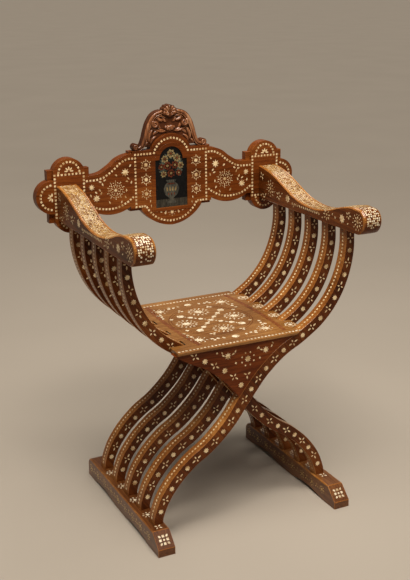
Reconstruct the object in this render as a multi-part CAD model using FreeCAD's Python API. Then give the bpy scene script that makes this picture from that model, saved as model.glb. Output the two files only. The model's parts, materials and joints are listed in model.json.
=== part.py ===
import FreeCAD, Part
import math
import os

# Savonarola chair in walnut with bone inlay: two sets of five S-curved slats
# cross on a pivot rod, each set joins one armrest to the foot rail of the other
# side, and a slatted seat board and a shaped back board bridge the frame.
# Millimetres. X is to the right of someone facing the chair, Y runs from the
# front to the back and Z is up. The origin is on the floor, under the middle.

# Overall
arm_underside = 708.0
pivot_height = 334.0
seat_rise = 140.0
running_gap = 0.3
fixed_gap = 0.02
bore_gap = 0.05
cut_over = 5.0
straight_turn = 0.0001

# Slats
slats_a_side = 5
slat_thickness = 29.0
spacer_thickness = 11.0
slat_top_x = 279.0
slat_foot_x = 236.5
slat_top_width = 23.0
slat_waist_width = 33.0
slat_foot_width = 24.0
slat_front = 85.5
slat_rear_margin = 22.1
tenon_length = 16.0
tenon_shoulder = 4.0

# Foot rails
rail_height = 51.0
rail_width = 43.0
rail_outset = 5.0
rail_front_setback = 28.0
rail_toe_height = 19.0
rail_toe_length = 34.0
rail_heel_radius = 20.0
rail_arch_height = 9.0
rail_front_pad = 58.0
rail_middle_pad = 70.0
rail_rear_pad = 44.0
rail_edge_bevel = 2.0

# Arms
arm_width = 51.0
arm_outset = 5.5
arm_rear_height = 88.0
arm_waist_height = 24.0
scroll_diameter = 62.0
arm_edge_bevel = 2.0

# Seat
seat_thickness = 8.0
seat_nosing = 6.0
seat_side_gap = 1.0
seat_side_lean = 8.5
finger_gap = 1.0
finger_tip_reach = 27.0
hinge_inset = 21.0
hinge_rod_diameter = 4.0
rest_rod_diameter = 8.0
rod_end_cover = 6.0
nosing_bevel = 1.5
apron_thickness = 24.0

# Pivot
pivot_rod_diameter = 14.0
pivot_cover = 8.0
spacer_diameter = 30.0
pivot_cap_diameter = 24.0
pivot_cap_height = 5.0
pivot_cap_bevel = 2.0
spacer_sides = 8

# Back: heights are above or below the middle of the square end blocks
back_thickness = 27.0
back_gap = 0.4
back_block_inset = 2.5
back_block_rise = 60.0
block_half_width = 54.5
block_half_height = 66.0
lobe_radius = 42.0
lobe_offset_x = 45.0
lobe_offset_z = 52.0
ear_recess = 8.0
ear_width = 13.5
centre_ear_height = 7.5
centre_half_width = 114.5
centre_rise = 96.0
centre_drop = 58.5
top_arch_radius = 61.0
top_arch_rise = 134.0
bottom_arch_half = 85.0
bottom_arch_drop = 105.0
wing_low_rise = 45.0
wing_high_rise = 90.0
wing_middle_drop = 60.0
wing_end_drop = 44.0

# Picture panel in the centre of the back
panel_half_width = 45.0
panel_drop = 57.0
panel_shoulder_rise = 68.0
panel_arch_radius = 33.0
panel_recess = 5.0
panel_thickness = 3.5
fillet_width = 9.0
fillet_depth = 4.5
fillet_proud = 1.0

# Back pins
back_pin_diameter = 12.0
back_pin_in_arm = 34.0
back_pin_in_board = 18.0
catch_pin_in_arm = 13.0
catch_slot_gap = 0.8

# Crest: heights are above the level shoulders of the back's centre
crest_half_width = 104.0
crest_rise = 111.0
crest_thickness = 24.0
crest_band_thickness = 20.0
crest_band_width = 12.0
crest_field_thickness = 12.0
crest_leaf_thickness = 18.0
crest_volute_radius = 11.0
crest_volute_x = 41.0
crest_volute_rise = 64.0
crest_foot_radius = 9.0
shell_lobes = 7
shell_lobe_radius = 6.2
shell_ring_radius = 13.8
shell_hub_radius = 10.0
crest_hole_radius = 6.0
crest_hole_x = 56.0
crest_hole_rise = 33.0
crest_dowel_diameter = 8.0
crest_dowel_length = 26.0
crest_dowel_x = 28.0

# Pegs that lock the slat tenons
peg_side = 4.5
peg_cover = 3.0

# Motion: the fold of the right-hand frame in degrees, the step in which the
# catch pin's path is followed, and how many times as fast the back swings
fold_limit = 48.0
fold_step = 1.0
back_ratio = 1.8

# Places that follow from the sizes above
slat_layers = 2 * slats_a_side
layer_pitch = slat_thickness + spacer_thickness
stack_depth = slat_layers * layer_pitch - spacer_thickness
half_depth = (slat_front + stack_depth + slat_rear_margin + back_gap + back_thickness) / 2
back_front_y = half_depth - back_thickness
arm_rear_y = back_front_y - back_gap
slat_front_y = -half_depth + slat_front
stack_rear_y = slat_front_y + stack_depth
arm_length = arm_rear_y + half_depth
rail_front_y = -half_depth + rail_front_setback
rail_rear_y = back_front_y
seat_height = pivot_height + seat_rise
seat_bottom = seat_height - seat_thickness
seat_front_y = slat_front_y - seat_nosing
seat_rear_y = slat_front_y + (slat_layers - 1) * layer_pitch - finger_gap
hinge_z = seat_bottom + seat_thickness / 2
rest_z = seat_bottom - rest_rod_diameter / 2 - running_gap
arm_centre_x = slat_top_x + arm_outset
rail_centre_x = slat_foot_x + rail_outset
back_block_x = slat_top_x - back_block_inset
back_block_z = arm_underside + back_block_rise
centre_top = back_block_z + centre_rise
centre_bottom = back_block_z - centre_drop
top_arch_apex = back_block_z + top_arch_rise
bottom_arch_apex = back_block_z - bottom_arch_drop
wing_top_low = back_block_z + wing_low_rise
wing_top_high = back_block_z + wing_high_rise
wing_bottom_mid = back_block_z - wing_middle_drop
wing_bottom_end = back_block_z - wing_end_drop
panel_bottom = back_block_z - panel_drop
panel_shoulder = back_block_z + panel_shoulder_rise
crest_top = centre_top + crest_rise

# The slat's centre line, as shares of the reach and rise above the pivot and
# of the reach and drop below it
upper_course_shares = [
    (1.0, 1.0),
    (0.999, 0.857),
    (0.954, 0.701),
    (0.859, 0.552),
    (0.722, 0.432),
    (0.541, 0.336),
    (0.344, 0.256),
    (0.170, 0.150),
]
lower_course_shares = [
    (0.228, 0.249),
    (0.416, 0.394),
    (0.626, 0.512),
    (0.808, 0.657),
    (0.950, 0.841),
    (1.0, 1.0),
]

# The arm's top line: shares of the arm's length from the rear, and of the fall
# from the rear to the waist, then of the rise from the waist to the scroll
arm_fall_shares = [(0.0, 1.0), (0.145, 0.80), (0.26, 0.47), (0.37, 0.16), (0.51, 0.0)]
arm_rise_shares = [(0.69, 0.28), (0.81, 0.76)]

# The wing's top line: shares of the run from the centre block to the end block
# and of the fall between them; and the fullness of the arch below the centre
wing_top_shares = [(0.28, 0.80), (0.52, 0.38), (0.76, 0.07)]
bottom_arch_share = 0.77

# The crest's right half, as shares of its half width and of its rise: the line
# of the C-scroll with its width as a share of the band's, the field inside it
# and the leaf in the middle
crest_band_shares = [
    (0.190, 0.850, 0.70),
    (0.390, 0.785, 0.95),
    (0.535, 0.615, 1.00),
    (0.620, 0.410, 0.95),
    (0.690, 0.200, 0.85),
    (0.765, 0.085, 0.75),
    (0.860, 0.045, 0.60),
]
crest_field_shares = [
    (0.0, 0.84),
    (0.20, 0.84),
    (0.39, 0.77),
    (0.53, 0.61),
    (0.61, 0.41),
    (0.67, 0.20),
    (0.64, 0.06),
    (0.0, 0.06),
]
crest_leaf_shares = [(0.0, 0.66), (0.07, 0.54), (0.16, 0.47), (0.10, 0.38), (0.05, 0.30), (0.0, 0.28)]

os.makedirs("parts", exist_ok=True)


def vec(x, y, z):
    return FreeCAD.Vector(x, y, z)


along_x = vec(1, 0, 0)
along_y = vec(0, 1, 0)
down = vec(0, 0, -1)


def save(shape, name):
    shape.exportStep("parts/" + name + ".step")
    print(name, "solids", len(shape.Solids), "valid", shape.isValid(), "volume", round(shape.Volume))


def line(start, end):
    return Part.LineSegment(start, end).toShape()


def arc(start, middle, end):
    return Part.Arc(start, middle, end).toShape()


def arc_from(start, direction, end, normal):
    # The arc that leaves the start in this direction and reaches the end
    chord = end - start
    turn = math.atan2(normal.dot(chord.cross(direction)), chord.dot(direction))
    if abs(turn) < straight_turn:
        return line(start, end)
    middle = start + chord * 0.5 + normal.cross(chord) * (math.tan(turn / 2) / 2)
    return arc(start, middle, end)


def circle_direction(before, here, after):
    # The direction, at the middle point, of the circle through three points
    back = here - before
    ahead = after - here
    direction = back * (ahead.Length / back.Length) + ahead * (back.Length / ahead.Length)
    return direction.normalize()


def smooth(points, normal, first=None, last=None):
    # Pairs of arcs that run through the points with no corner
    directions = [circle_direction(*points[i - 1:i + 2]) for i in range(1, len(points) - 1)]
    for at_start in (True, False):
        end, near = (points[0], points[1]) if at_start else (points[-1], points[-2])
        known = directions[0] if at_start else directions[-1]
        if at_start:
            directions.insert(0, first or arrive_direction(known, end, near))
        else:
            directions.append(last or arrive_direction(known, near, end))
    edges = []
    for index in range(len(points) - 1):
        start, end = points[index], points[index + 1]
        leave, arrive = directions[index], directions[index + 1]
        chord = end - start
        both = leave + arrive
        bend = 2 * (1 - leave.dot(arrive))
        if bend < straight_turn ** 2:
            reach = chord.dot(chord) / (4 * chord.dot(arrive))
        else:
            along = chord.dot(both)
            reach = (math.sqrt(along ** 2 + bend * chord.dot(chord)) - along) / bend
        joint = (start + end + (leave - arrive) * reach) * 0.5
        edges.append(arc_from(start, leave, joint, normal))
        edges.append(arc_from(joint, arrive_direction(leave, start, joint), end, normal))
    return edges


def arrive_direction(direction, start, end):
    # The direction at the end of the arc that leaves the start this way
    chord = end - start
    return chord * (2 * direction.dot(chord) / chord.dot(chord)) - direction


def solid_of(edges, direction):
    return Part.Face(Part.Wire(edges)).extrude(direction)


def box(x_low, x_high, y_low, y_high, z_low, z_high):
    return Part.makeBox(x_high - x_low, y_high - y_low, z_high - z_low, vec(x_low, y_low, z_low))


def rod_along_y(x, z, y_low, y_high, diameter):
    return Part.makeCylinder(diameter / 2, y_high - y_low, vec(x, y_low, z), vec(0, 1, 0))


def mirrored(shape):
    return shape.mirror(vec(0, 0, 0), vec(1, 0, 0))


def bevel_edges(shape, chosen, size):
    edges = [edge for edge in shape.Edges if chosen(edge)]
    return shape.makeChamfer(size, edges)


def largest(shape):
    return max(shape.Solids, key=lambda solid: solid.Volume)


# The slats

def course_points():
    # Centre line from the arm to the foot of the right-hand slat, with widths
    rise = arm_underside - pivot_height
    drop = pivot_height - rail_height
    course = []
    for reach_share, rise_share in upper_course_shares:
        width = slat_waist_width + (slat_top_width - slat_waist_width) * rise_share
        course.append((slat_top_x * reach_share, pivot_height + rise * rise_share, width))
    course.append((0, pivot_height, slat_waist_width))
    for reach_share, drop_share in lower_course_shares:
        width = slat_waist_width + (slat_foot_width - slat_waist_width) * drop_share
        course.append((-slat_foot_x * reach_share, pivot_height - drop * drop_share, width))
    return course


def course_sides(course, upright_ends):
    # Points along the two sides of a course of places and widths
    left = []
    right = []
    for index, (x, z, width) in enumerate(course):
        before = course[max(index - 1, 0)]
        after = course[min(index + 1, len(course) - 1)]
        run = after[0] - before[0]
        fall = after[1] - before[1]
        length = math.hypot(run, fall)
        if upright_ends and index in (0, len(course) - 1):
            run, fall, length = 0, -1, 1
        left.append((x + fall / length * width / 2, z - run / length * width / 2))
        right.append((x - fall / length * width / 2, z + run / length * width / 2))
    return left, right


inner_points, outer_points = course_sides(course_points(), True)


def slat_face(y):
    inner_line = [vec(x, y, z) for x, z in inner_points]
    outer_line = [vec(x, y, z) for x, z in outer_points]
    edges = smooth(inner_line, along_y, down, down)
    edges.append(line(inner_line[-1], outer_line[-1]))
    edges += smooth(outer_line[::-1], along_y, -down, -down)
    edges.append(line(outer_line[0], inner_line[0]))
    return edges


def edge_x_at(points, height):
    # Where an edge of the right-hand slat passes a height above the pivot
    curve = Part.Wire(smooth([vec(x, 0, z) for x, z in points], along_y, down, down))
    level = line(vec(0, 0, height), vec(2 * slat_top_x, 0, height))
    near = curve.distToShape(level)[1]
    return near[0][0].x


inner_x_at_seat = edge_x_at(inner_points, seat_bottom)
outer_x_at_seat = edge_x_at(outer_points, seat_bottom)
seat_half = inner_x_at_seat - seat_side_gap
hinge_x = inner_x_at_seat + hinge_inset
tip_x = hinge_x + finger_tip_reach


def slat_y(index, left):
    # Front face of the slat at this place in the stack
    return slat_front_y + (2 * index + (1 if left else 0)) * layer_pitch


def tenon(x, z_low, width, y):
    half = width / 2 - tenon_shoulder
    return box(x - half, x + half, y + tenon_shoulder, y + slat_thickness - tenon_shoulder,
               z_low, z_low + tenon_length)


def make_slat(index, left):
    y = slat_y(index, left)
    slat = solid_of(slat_face(y), vec(0, slat_thickness, 0))
    slat = slat.fuse(tenon(slat_top_x, arm_underside, slat_top_width, y))
    slat = slat.fuse(tenon(-slat_foot_x, rail_height - tenon_length, slat_foot_width, y))
    if left:
        slat = mirrored(slat)
    first = index == 0 and not left
    bore_from = y + pivot_cover if first else y - cut_over
    radius_gap = fixed_gap if not left else bore_gap
    slat = slat.cut(rod_along_y(0, pivot_height, bore_from, y + slat_thickness + cut_over,
                                pivot_rod_diameter + 2 * radius_gap))
    if left:
        last = index == slats_a_side - 1
        end = y + slat_thickness - rod_end_cover if last else y + slat_thickness + cut_over
        slat = slat.cut(rod_along_y(-hinge_x, hinge_z, y - cut_over, end,
                                    hinge_rod_diameter + 2 * fixed_gap))
    else:
        start = y + rod_end_cover if first else y - cut_over
        slat = slat.cut(rod_along_y(hinge_x, rest_z, start, y + slat_thickness + cut_over,
                                    rest_rod_diameter + 2 * fixed_gap))
    return slat.cut(peg_holes(index, left))


# The pegs across the tenons

def peg_centres(index, left):
    # One peg in the arm and one in the foot rail for each slat
    y = slat_y(index, left) + slat_thickness / 2
    side = -1 if left else 1
    arm_end = arm_centre_x + arm_width / 2 - peg_cover
    rail_end = rail_centre_x + rail_width / 2 - peg_cover
    arm_inner = slat_top_x - slat_top_width / 2
    rail_inner = slat_foot_x - slat_foot_width / 2
    in_arm = (side * arm_end, side * arm_inner, y, arm_underside + tenon_length / 2)
    in_rail = (-side * rail_end, -side * rail_inner, y, rail_height - tenon_length / 2)
    return in_arm, in_rail


def peg(ends, extra):
    outer, inner, y, z = ends
    half = peg_side / 2 + extra
    return box(min(outer, inner), max(outer, inner), y - half, y + half, z - half, z + half)


def peg_holes(index, left):
    in_arm, in_rail = peg_centres(index, left)
    return Part.makeCompound([peg(in_arm, fixed_gap), peg(in_rail, fixed_gap)])


# The arms

def arm_outline(x):
    waist = arm_underside + arm_waist_height
    fall = arm_rear_height - arm_waist_height
    rise = scroll_diameter - arm_waist_height
    radius = scroll_diameter / 2
    scroll_y = -half_depth + radius
    top = [vec(x, arm_rear_y - arm_length * share, waist + fall * part) for share, part in arm_fall_shares]
    top += [vec(x, arm_rear_y - arm_length * share, waist + rise * part) for share, part in arm_rise_shares]
    scroll_top = vec(x, scroll_y, arm_underside + scroll_diameter)
    top.append(scroll_top)
    scroll_low = vec(x, scroll_y, arm_underside)
    rear_low = vec(x, arm_rear_y, arm_underside)
    front = vec(x, -half_depth, arm_underside + radius)
    return smooth(top, along_x, last=vec(0, -1, 0)) + [
        arc(scroll_top, front, scroll_low),
        line(scroll_low, rear_low),
        line(rear_low, top[0]),
    ]


def mortise(x, z_low, width, y):
    half = width / 2 - tenon_shoulder + fixed_gap
    return box(x - half, x + half, y + tenon_shoulder - fixed_gap,
               y + slat_thickness - tenon_shoulder + fixed_gap, z_low, z_low + tenon_length + fixed_gap)


def make_arm(left):
    x = arm_centre_x - arm_width / 2
    arm = solid_of(arm_outline(x), vec(arm_width, 0, 0))

    def on_top(edge):
        box_of = edge.BoundBox
        above = box_of.ZMax > arm_underside + fixed_gap
        return box_of.XLength < fixed_gap and above and box_of.YMin < arm_rear_y - fixed_gap

    arm = bevel_edges(arm, on_top, arm_edge_bevel)
    for index in range(slats_a_side):
        arm = arm.cut(mortise(slat_top_x, arm_underside, slat_top_width, slat_y(index, left)))
    if left:
        arm = mirrored(arm)
        arm = arm.cut(rod_along_y(-back_block_x, back_block_z, arm_rear_y - back_pin_in_arm,
                                  arm_rear_y + cut_over, back_pin_diameter + 2 * fixed_gap))
    else:
        arm = arm.cut(catch_slot())
    for index in range(slats_a_side):
        arm = arm.cut(peg(peg_centres(index, left)[0], fixed_gap))
    return arm


def catch_path_end():
    # Where the catch pin lies beside the right arm once the fold has opened
    # enough for the pin to leave the slot, seen from the folding arm
    step = math.radians(fold_step)
    span = 2 * back_block_x
    angle = 0
    x, z = back_block_x, back_block_z
    top = arm_underside + arm_rear_height + back_pin_diameter
    while z < top and angle < math.radians(fold_limit):
        angle += step
        pin_x = -back_block_x + span * math.cos(back_ratio * angle)
        pin_z = back_block_z - pivot_height + span * math.sin(back_ratio * angle)
        x = pin_x * math.cos(angle) + pin_z * math.sin(angle)
        z = pivot_height - pin_x * math.sin(angle) + pin_z * math.cos(angle)
    return x, z


def catch_slot():
    # A slanted slot in the rear end of the right arm, open at the top, that the
    # pin of the back drops into
    end_x, end_z = catch_path_end()
    radius = back_pin_diameter / 2 + catch_slot_gap
    y = arm_rear_y - catch_pin_in_arm - catch_slot_gap
    depth = catch_pin_in_arm + catch_slot_gap + cut_over
    run = end_x - back_block_x
    climb = end_z - back_block_z
    length = math.hypot(run, climb)
    side_x = climb / length * radius
    side_z = -run / length * radius
    corners = [
        vec(back_block_x + side_x, y, back_block_z + side_z),
        vec(end_x + side_x, y, end_z + side_z),
        vec(end_x - side_x, y, end_z - side_z),
        vec(back_block_x - side_x, y, back_block_z - side_z),
    ]
    sides = [line(corners[i], corners[(i + 1) % len(corners)]) for i in range(len(corners))]
    slot = solid_of(sides, vec(0, depth, 0))
    seat_end = Part.makeCylinder(radius, depth, vec(back_block_x, y, back_block_z), vec(0, 1, 0))
    return slot.fuse(seat_end)


# The foot rails

def rail_outline(x):
    toe = vec(x, rail_front_y, rail_toe_height)
    crest = vec(x, rail_front_y + rail_toe_length, rail_height)
    heel_top = vec(x, rail_rear_y - rail_heel_radius, rail_height)
    turn = rail_heel_radius * (1 - math.sqrt(0.5))
    heel_mid = vec(x, rail_rear_y - turn, rail_height - turn)
    heel_low = vec(x, rail_rear_y, rail_height - rail_heel_radius)
    arch_starts = rail_front_y + rail_front_pad
    arch_ends = rail_rear_y - rail_rear_pad
    half_pad = rail_middle_pad / 2
    middle = (arch_starts + arch_ends) / 2
    edges = [
        line(vec(x, rail_front_y, 0), toe),
        line(toe, crest),
        line(crest, heel_top),
        arc(heel_top, heel_mid, heel_low),
        line(heel_low, vec(x, rail_rear_y, 0)),
        line(vec(x, rail_rear_y, 0), vec(x, arch_ends, 0)),
    ]
    for rear, front in ((arch_ends, middle + half_pad), (middle - half_pad, arch_starts)):
        crown = vec(x, (rear + front) / 2, rail_arch_height)
        edges.append(arc(vec(x, rear, 0), crown, vec(x, front, 0)))
        if front > middle:
            edges.append(line(vec(x, front, 0), vec(x, middle - half_pad, 0)))
    edges.append(line(vec(x, arch_starts, 0), vec(x, rail_front_y, 0)))
    return edges


def make_rail(left_slats):
    # The right rail carries the left-hand slats and the left rail the right-hand ones
    x = rail_centre_x - rail_width / 2
    rail = solid_of(rail_outline(x), vec(rail_width, 0, 0))

    def along_top(edge):
        box_of = edge.BoundBox
        return box_of.XLength < fixed_gap and box_of.ZMin > rail_height - fixed_gap

    rail = bevel_edges(rail, along_top, rail_edge_bevel)
    for index in range(slats_a_side):
        z_low = rail_height - tenon_length - fixed_gap
        rail = rail.cut(mortise(slat_foot_x, z_low, slat_foot_width, slat_y(index, left_slats)))
    if not left_slats:
        rail = mirrored(rail)
    for index in range(slats_a_side):
        rail = rail.cut(peg(peg_centres(index, left_slats)[1], fixed_gap))
    return rail


# The seat

def make_seat():
    low_half = seat_half
    high_half = seat_half + seat_side_lean
    corners = [
        vec(-low_half, seat_front_y, seat_bottom),
        vec(low_half, seat_front_y, seat_bottom),
        vec(high_half, seat_front_y, seat_height),
        vec(-high_half, seat_front_y, seat_height),
    ]
    sides = [line(corners[i - 1], corners[i]) for i in range(len(corners))]
    seat = solid_of(sides, vec(0, seat_rear_y - seat_front_y, 0))
    for index in range(slats_a_side):
        front = seat_front_y if index == 0 else slat_y(index - 1, True) + slat_thickness + finger_gap
        rear = slat_y(index, True) - finger_gap
        seat = seat.fuse(box(-tip_x, -seat_half + cut_over, front, rear, seat_bottom, seat_height))
    for index in range(slats_a_side - 1):
        front = slat_y(index, False) + slat_thickness + finger_gap
        rear = slat_y(index + 1, False) - finger_gap
        seat = seat.fuse(box(seat_half - cut_over, hinge_x + rest_rod_diameter, front, rear,
                             seat_bottom, seat_height))
    seat = seat.removeSplitter()

    def front_edges(edge):
        box_of = edge.BoundBox
        return box_of.YMax < seat_front_y + fixed_gap and box_of.ZLength < fixed_gap

    seat = bevel_edges(seat, front_edges, nosing_bevel)
    start = slat_y(0, False) + rod_end_cover
    return seat.cut(rod_along_y(-hinge_x, hinge_z, start, seat_rear_y + cut_over,
                                hinge_rod_diameter + 2 * bore_gap))


def make_apron():
    # The V-shaped front panel: its left border follows the left slat's outer
    # edge and its right border is glued to the first right-hand slat
    y = slat_front_y
    border = [vec(-x, y, z) for x, z in outer_points]
    top_right = vec(slat_top_x, y, border[0].z)
    low_right = vec(slat_top_x, y, border[-1].z)
    plate = solid_of(smooth(border, along_y, down, down) + [
        line(border[-1], low_right),
        line(low_right, top_right),
        line(top_right, border[0]),
    ], vec(0, apron_thickness, 0))
    plate = plate.common(box(-slat_top_x, slat_top_x, y, y + apron_thickness, pivot_height - slat_waist_width,
                             seat_bottom - running_gap))
    slat = solid_of(slat_face(y - cut_over), vec(0, apron_thickness + 2 * cut_over, 0))
    pieces = plate.cut(slat).Solids
    return min(pieces, key=lambda solid: solid.CenterOfMass.x)


# The back board

def back_half_outline(y):
    # From the middle of the top arch, round the right end, to the middle below
    def at(x, z):
        return vec(x, y, z)

    arch_centre = top_arch_apex - top_arch_radius
    arch_x = math.sqrt(top_arch_radius ** 2 - (centre_top - arch_centre) ** 2)
    block_left = back_block_x - block_half_width
    block_right = back_block_x + block_half_width
    block_top = back_block_z + block_half_height
    block_low = back_block_z - block_half_height
    lobe_half_top = math.sqrt(lobe_radius ** 2 - (block_half_height - lobe_offset_z) ** 2)
    lobe_half_side = math.sqrt(lobe_radius ** 2 - (block_half_width - lobe_offset_x) ** 2)
    lobe_top = back_block_z + lobe_offset_z + lobe_radius
    lobe_low = back_block_z - lobe_offset_z - lobe_radius
    lobe_right = back_block_x + lobe_offset_x + lobe_radius
    bend = math.sqrt(0.5) * top_arch_radius
    wing_run = block_left - centre_half_width
    wing_rise = wing_top_high - wing_top_low
    wing_line = [at(centre_half_width, wing_top_high)]
    for run, rise in wing_top_shares:
        wing_line.append(at(centre_half_width + wing_run * run, wing_top_low + wing_rise * rise))
    wing_line.append(at(block_left, wing_top_low))
    return [
        arc(at(0, top_arch_apex), at(bend, arch_centre + bend), at(arch_x, centre_top)),
        line(at(arch_x, centre_top), at(centre_half_width, centre_top)),
        line(at(centre_half_width, centre_top), at(centre_half_width, wing_top_high)),
        *smooth(wing_line, along_y, last=along_x),
        line(at(block_left, wing_top_low), at(block_left, block_top)),
        line(at(block_left, block_top), at(back_block_x - lobe_half_top, block_top)),
        arc(at(back_block_x - lobe_half_top, block_top), at(back_block_x, lobe_top),
            at(back_block_x + lobe_half_top, block_top)),
        line(at(back_block_x + lobe_half_top, block_top), at(block_right, block_top)),
        line(at(block_right, block_top), at(block_right, back_block_z + lobe_half_side)),
        arc(at(block_right, back_block_z + lobe_half_side), at(lobe_right, back_block_z),
            at(block_right, back_block_z - lobe_half_side)),
        line(at(block_right, back_block_z - lobe_half_side), at(block_right, block_low)),
        line(at(block_right, block_low), at(back_block_x + lobe_half_top, block_low)),
        arc(at(back_block_x + lobe_half_top, block_low), at(back_block_x, lobe_low),
            at(back_block_x - lobe_half_top, block_low)),
        line(at(back_block_x - lobe_half_top, block_low), at(block_left, block_low)),
        line(at(block_left, block_low), at(block_left, wing_bottom_end)),
        arc(at(block_left, wing_bottom_end), at((block_left + centre_half_width) / 2, wing_bottom_mid),
            at(centre_half_width, wing_bottom_end)),
        line(at(centre_half_width, wing_bottom_end), at(centre_half_width, centre_bottom)),
        line(at(centre_half_width, centre_bottom), at(bottom_arch_half, centre_bottom)),
        arc(at(bottom_arch_half, centre_bottom),
            at(bottom_arch_half / 2, centre_bottom - (centre_bottom - bottom_arch_apex) * bottom_arch_share),
            at(0, bottom_arch_apex)),
        line(at(0, bottom_arch_apex), at(0, top_arch_apex)),
    ]


def ear_recesses():
    # What is cut from the front of the corners, which lie behind the front layer
    y_low = back_front_y - cut_over
    y_high = back_front_y + ear_recess
    block_left = back_block_x - block_half_width
    block_right = back_block_x + block_half_width
    high = back_block_z + block_half_height + cut_over
    low = back_block_z - block_half_height - cut_over
    outer = box(block_right - ear_width, block_right + cut_over, y_low, y_high, low, high)
    outer = outer.cut(rod_along_y(back_block_x + lobe_offset_x, back_block_z, y_low, y_high, 2 * lobe_radius))
    for z in (back_block_z - lobe_offset_z, back_block_z + lobe_offset_z):
        outer = outer.cut(rod_along_y(back_block_x, z, y_low, y_high, 2 * lobe_radius))
    cuts = outer.Solids
    inner_high = box(block_left - cut_over, block_left + ear_width, y_low, y_high, wing_top_low, high)
    inner_low = box(block_left - cut_over, block_left + ear_width, y_low, y_high, low, wing_bottom_end)
    wings = box(centre_half_width, block_left, y_low, y_high, low, high)
    for corner in (inner_high, inner_low):
        for z in (back_block_z - lobe_offset_z, back_block_z + lobe_offset_z):
            corner = corner.cut(rod_along_y(back_block_x, z, y_low, y_high, 2 * lobe_radius))
        cuts += corner.cut(wings).Solids
    cuts.append(box(bottom_arch_half, centre_half_width + cut_over, y_low, y_high,
                    centre_bottom - cut_over, centre_bottom + centre_ear_height))
    cuts.append(box(centre_half_width - centre_ear_height, centre_half_width + cut_over, y_low, y_high,
                    wing_top_high, centre_top + cut_over))
    return Part.makeCompound(cuts)


def panel_outline(y, grow):
    # The shouldered arch of the picture panel, grown all round by some amount
    half = panel_half_width + grow
    low = panel_bottom - grow
    shoulder = panel_shoulder + grow
    radius = panel_arch_radius + grow
    arc_x = math.sqrt(radius ** 2 - grow ** 2)
    return [
        line(vec(-half, y, low), vec(half, y, low)),
        line(vec(half, y, low), vec(half, y, shoulder)),
        line(vec(half, y, shoulder), vec(arc_x, y, shoulder)),
        arc(vec(arc_x, y, shoulder), vec(0, y, panel_shoulder + radius), vec(-arc_x, y, shoulder)),
        line(vec(-arc_x, y, shoulder), vec(-half, y, shoulder)),
        line(vec(-half, y, shoulder), vec(-half, y, low)),
    ]


def make_back():
    half = solid_of(back_half_outline(back_front_y), vec(0, back_thickness, 0))
    half = half.cut(ear_recesses())
    board = half.fuse(mirrored(half)).removeSplitter()
    panel_edges = panel_outline(back_front_y - cut_over, 0)
    board = board.cut(solid_of(panel_edges, vec(0, panel_recess + cut_over, 0)))
    groove = panel_outline(back_front_y - cut_over, fillet_width)
    board = board.cut(solid_of(groove, vec(0, fillet_depth + cut_over, 0)))
    board = board.cut(rod_along_y(-back_block_x, back_block_z, back_front_y - cut_over,
                                  back_front_y + back_pin_in_board + bore_gap,
                                  back_pin_diameter + 2 * bore_gap))
    board = board.cut(rod_along_y(back_block_x, back_block_z, back_front_y - cut_over,
                                  back_front_y + back_pin_in_board, back_pin_diameter + 2 * fixed_gap))
    return board.cut(crest_dowel_shape(fixed_gap))


def make_panel():
    y = back_front_y + panel_recess - panel_thickness
    return solid_of(panel_outline(y, -fixed_gap), vec(0, panel_thickness, 0))


def make_fillet():
    front = back_front_y - fillet_proud
    outer = solid_of(panel_outline(front, fillet_width - fixed_gap), vec(0, fillet_proud + fillet_depth, 0))
    inner = solid_of(panel_outline(back_front_y - cut_over, 0), vec(0, fillet_depth + 2 * cut_over, 0))
    return outer.cut(inner)


# The crest

def crest_dowel_shape(extra):
    # Two upright dowels between the top arch and the crest
    dowels = []
    centre_y = back_front_y + back_thickness / 2
    for x in (-crest_dowel_x, crest_dowel_x):
        foot = top_arch_apex - top_arch_radius
        seat_z = foot + math.sqrt(top_arch_radius ** 2 - crest_dowel_x ** 2)
        low = seat_z - crest_dowel_length / 2 - extra
        dowels.append(Part.makeCylinder(crest_dowel_diameter / 2 + extra, crest_dowel_length + 2 * extra,
                                        vec(x, centre_y, low), vec(0, 0, 1)))
    return Part.makeCompound(dowels)


def crest_plate(points, thickness):
    # A flat piece of the crest, centred on the back board's middle plane
    y = back_front_y + (back_thickness - thickness) / 2
    corners = [vec(x, y, z) for x, z in points]
    sides = [line(corners[i - 1], corners[i]) for i in range(len(corners))]
    return solid_of(sides, vec(0, thickness, 0))


def crest_disc(x, z, radius, thickness):
    y = back_front_y + (back_thickness - thickness) / 2
    return rod_along_y(x, z, y, y + thickness, 2 * radius)


def crest_places(shares):
    return [(crest_half_width * reach, centre_top + crest_rise * rise) for reach, rise in shares]


def crest_band():
    # The C-scroll from the volute beside the shell to the foot on the shoulder
    places = crest_places([(reach, rise) for reach, rise, width in crest_band_shares])
    course = [(*place, crest_band_width * row[2]) for place, row in zip(places, crest_band_shares)]
    left, right = course_sides(course, False)
    y = back_front_y + (back_thickness - crest_band_thickness) / 2
    left = [vec(x, y, z) for x, z in left]
    right = [vec(x, y, z) for x, z in right]
    edges = smooth(left, along_y) + [line(left[-1], right[-1])]
    edges += smooth(right[::-1], along_y) + [line(right[0], left[0])]
    return solid_of(edges, vec(0, crest_band_thickness, 0))


def crest_shell():
    hub_z = crest_top - shell_lobe_radius - shell_ring_radius
    shell = crest_disc(0, hub_z, shell_hub_radius, crest_thickness)
    for place in range(shell_lobes):
        angle = math.pi * place / (shell_lobes - 1)
        x = shell_ring_radius * math.cos(angle)
        z = hub_z + shell_ring_radius * math.sin(angle)
        lobe = crest_disc(x, z, shell_lobe_radius, crest_thickness)
        rib = crest_disc(x / 2, (hub_z + z) / 2, shell_lobe_radius, crest_thickness)
        shell = shell.fuse([lobe, rib])
    return shell


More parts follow.
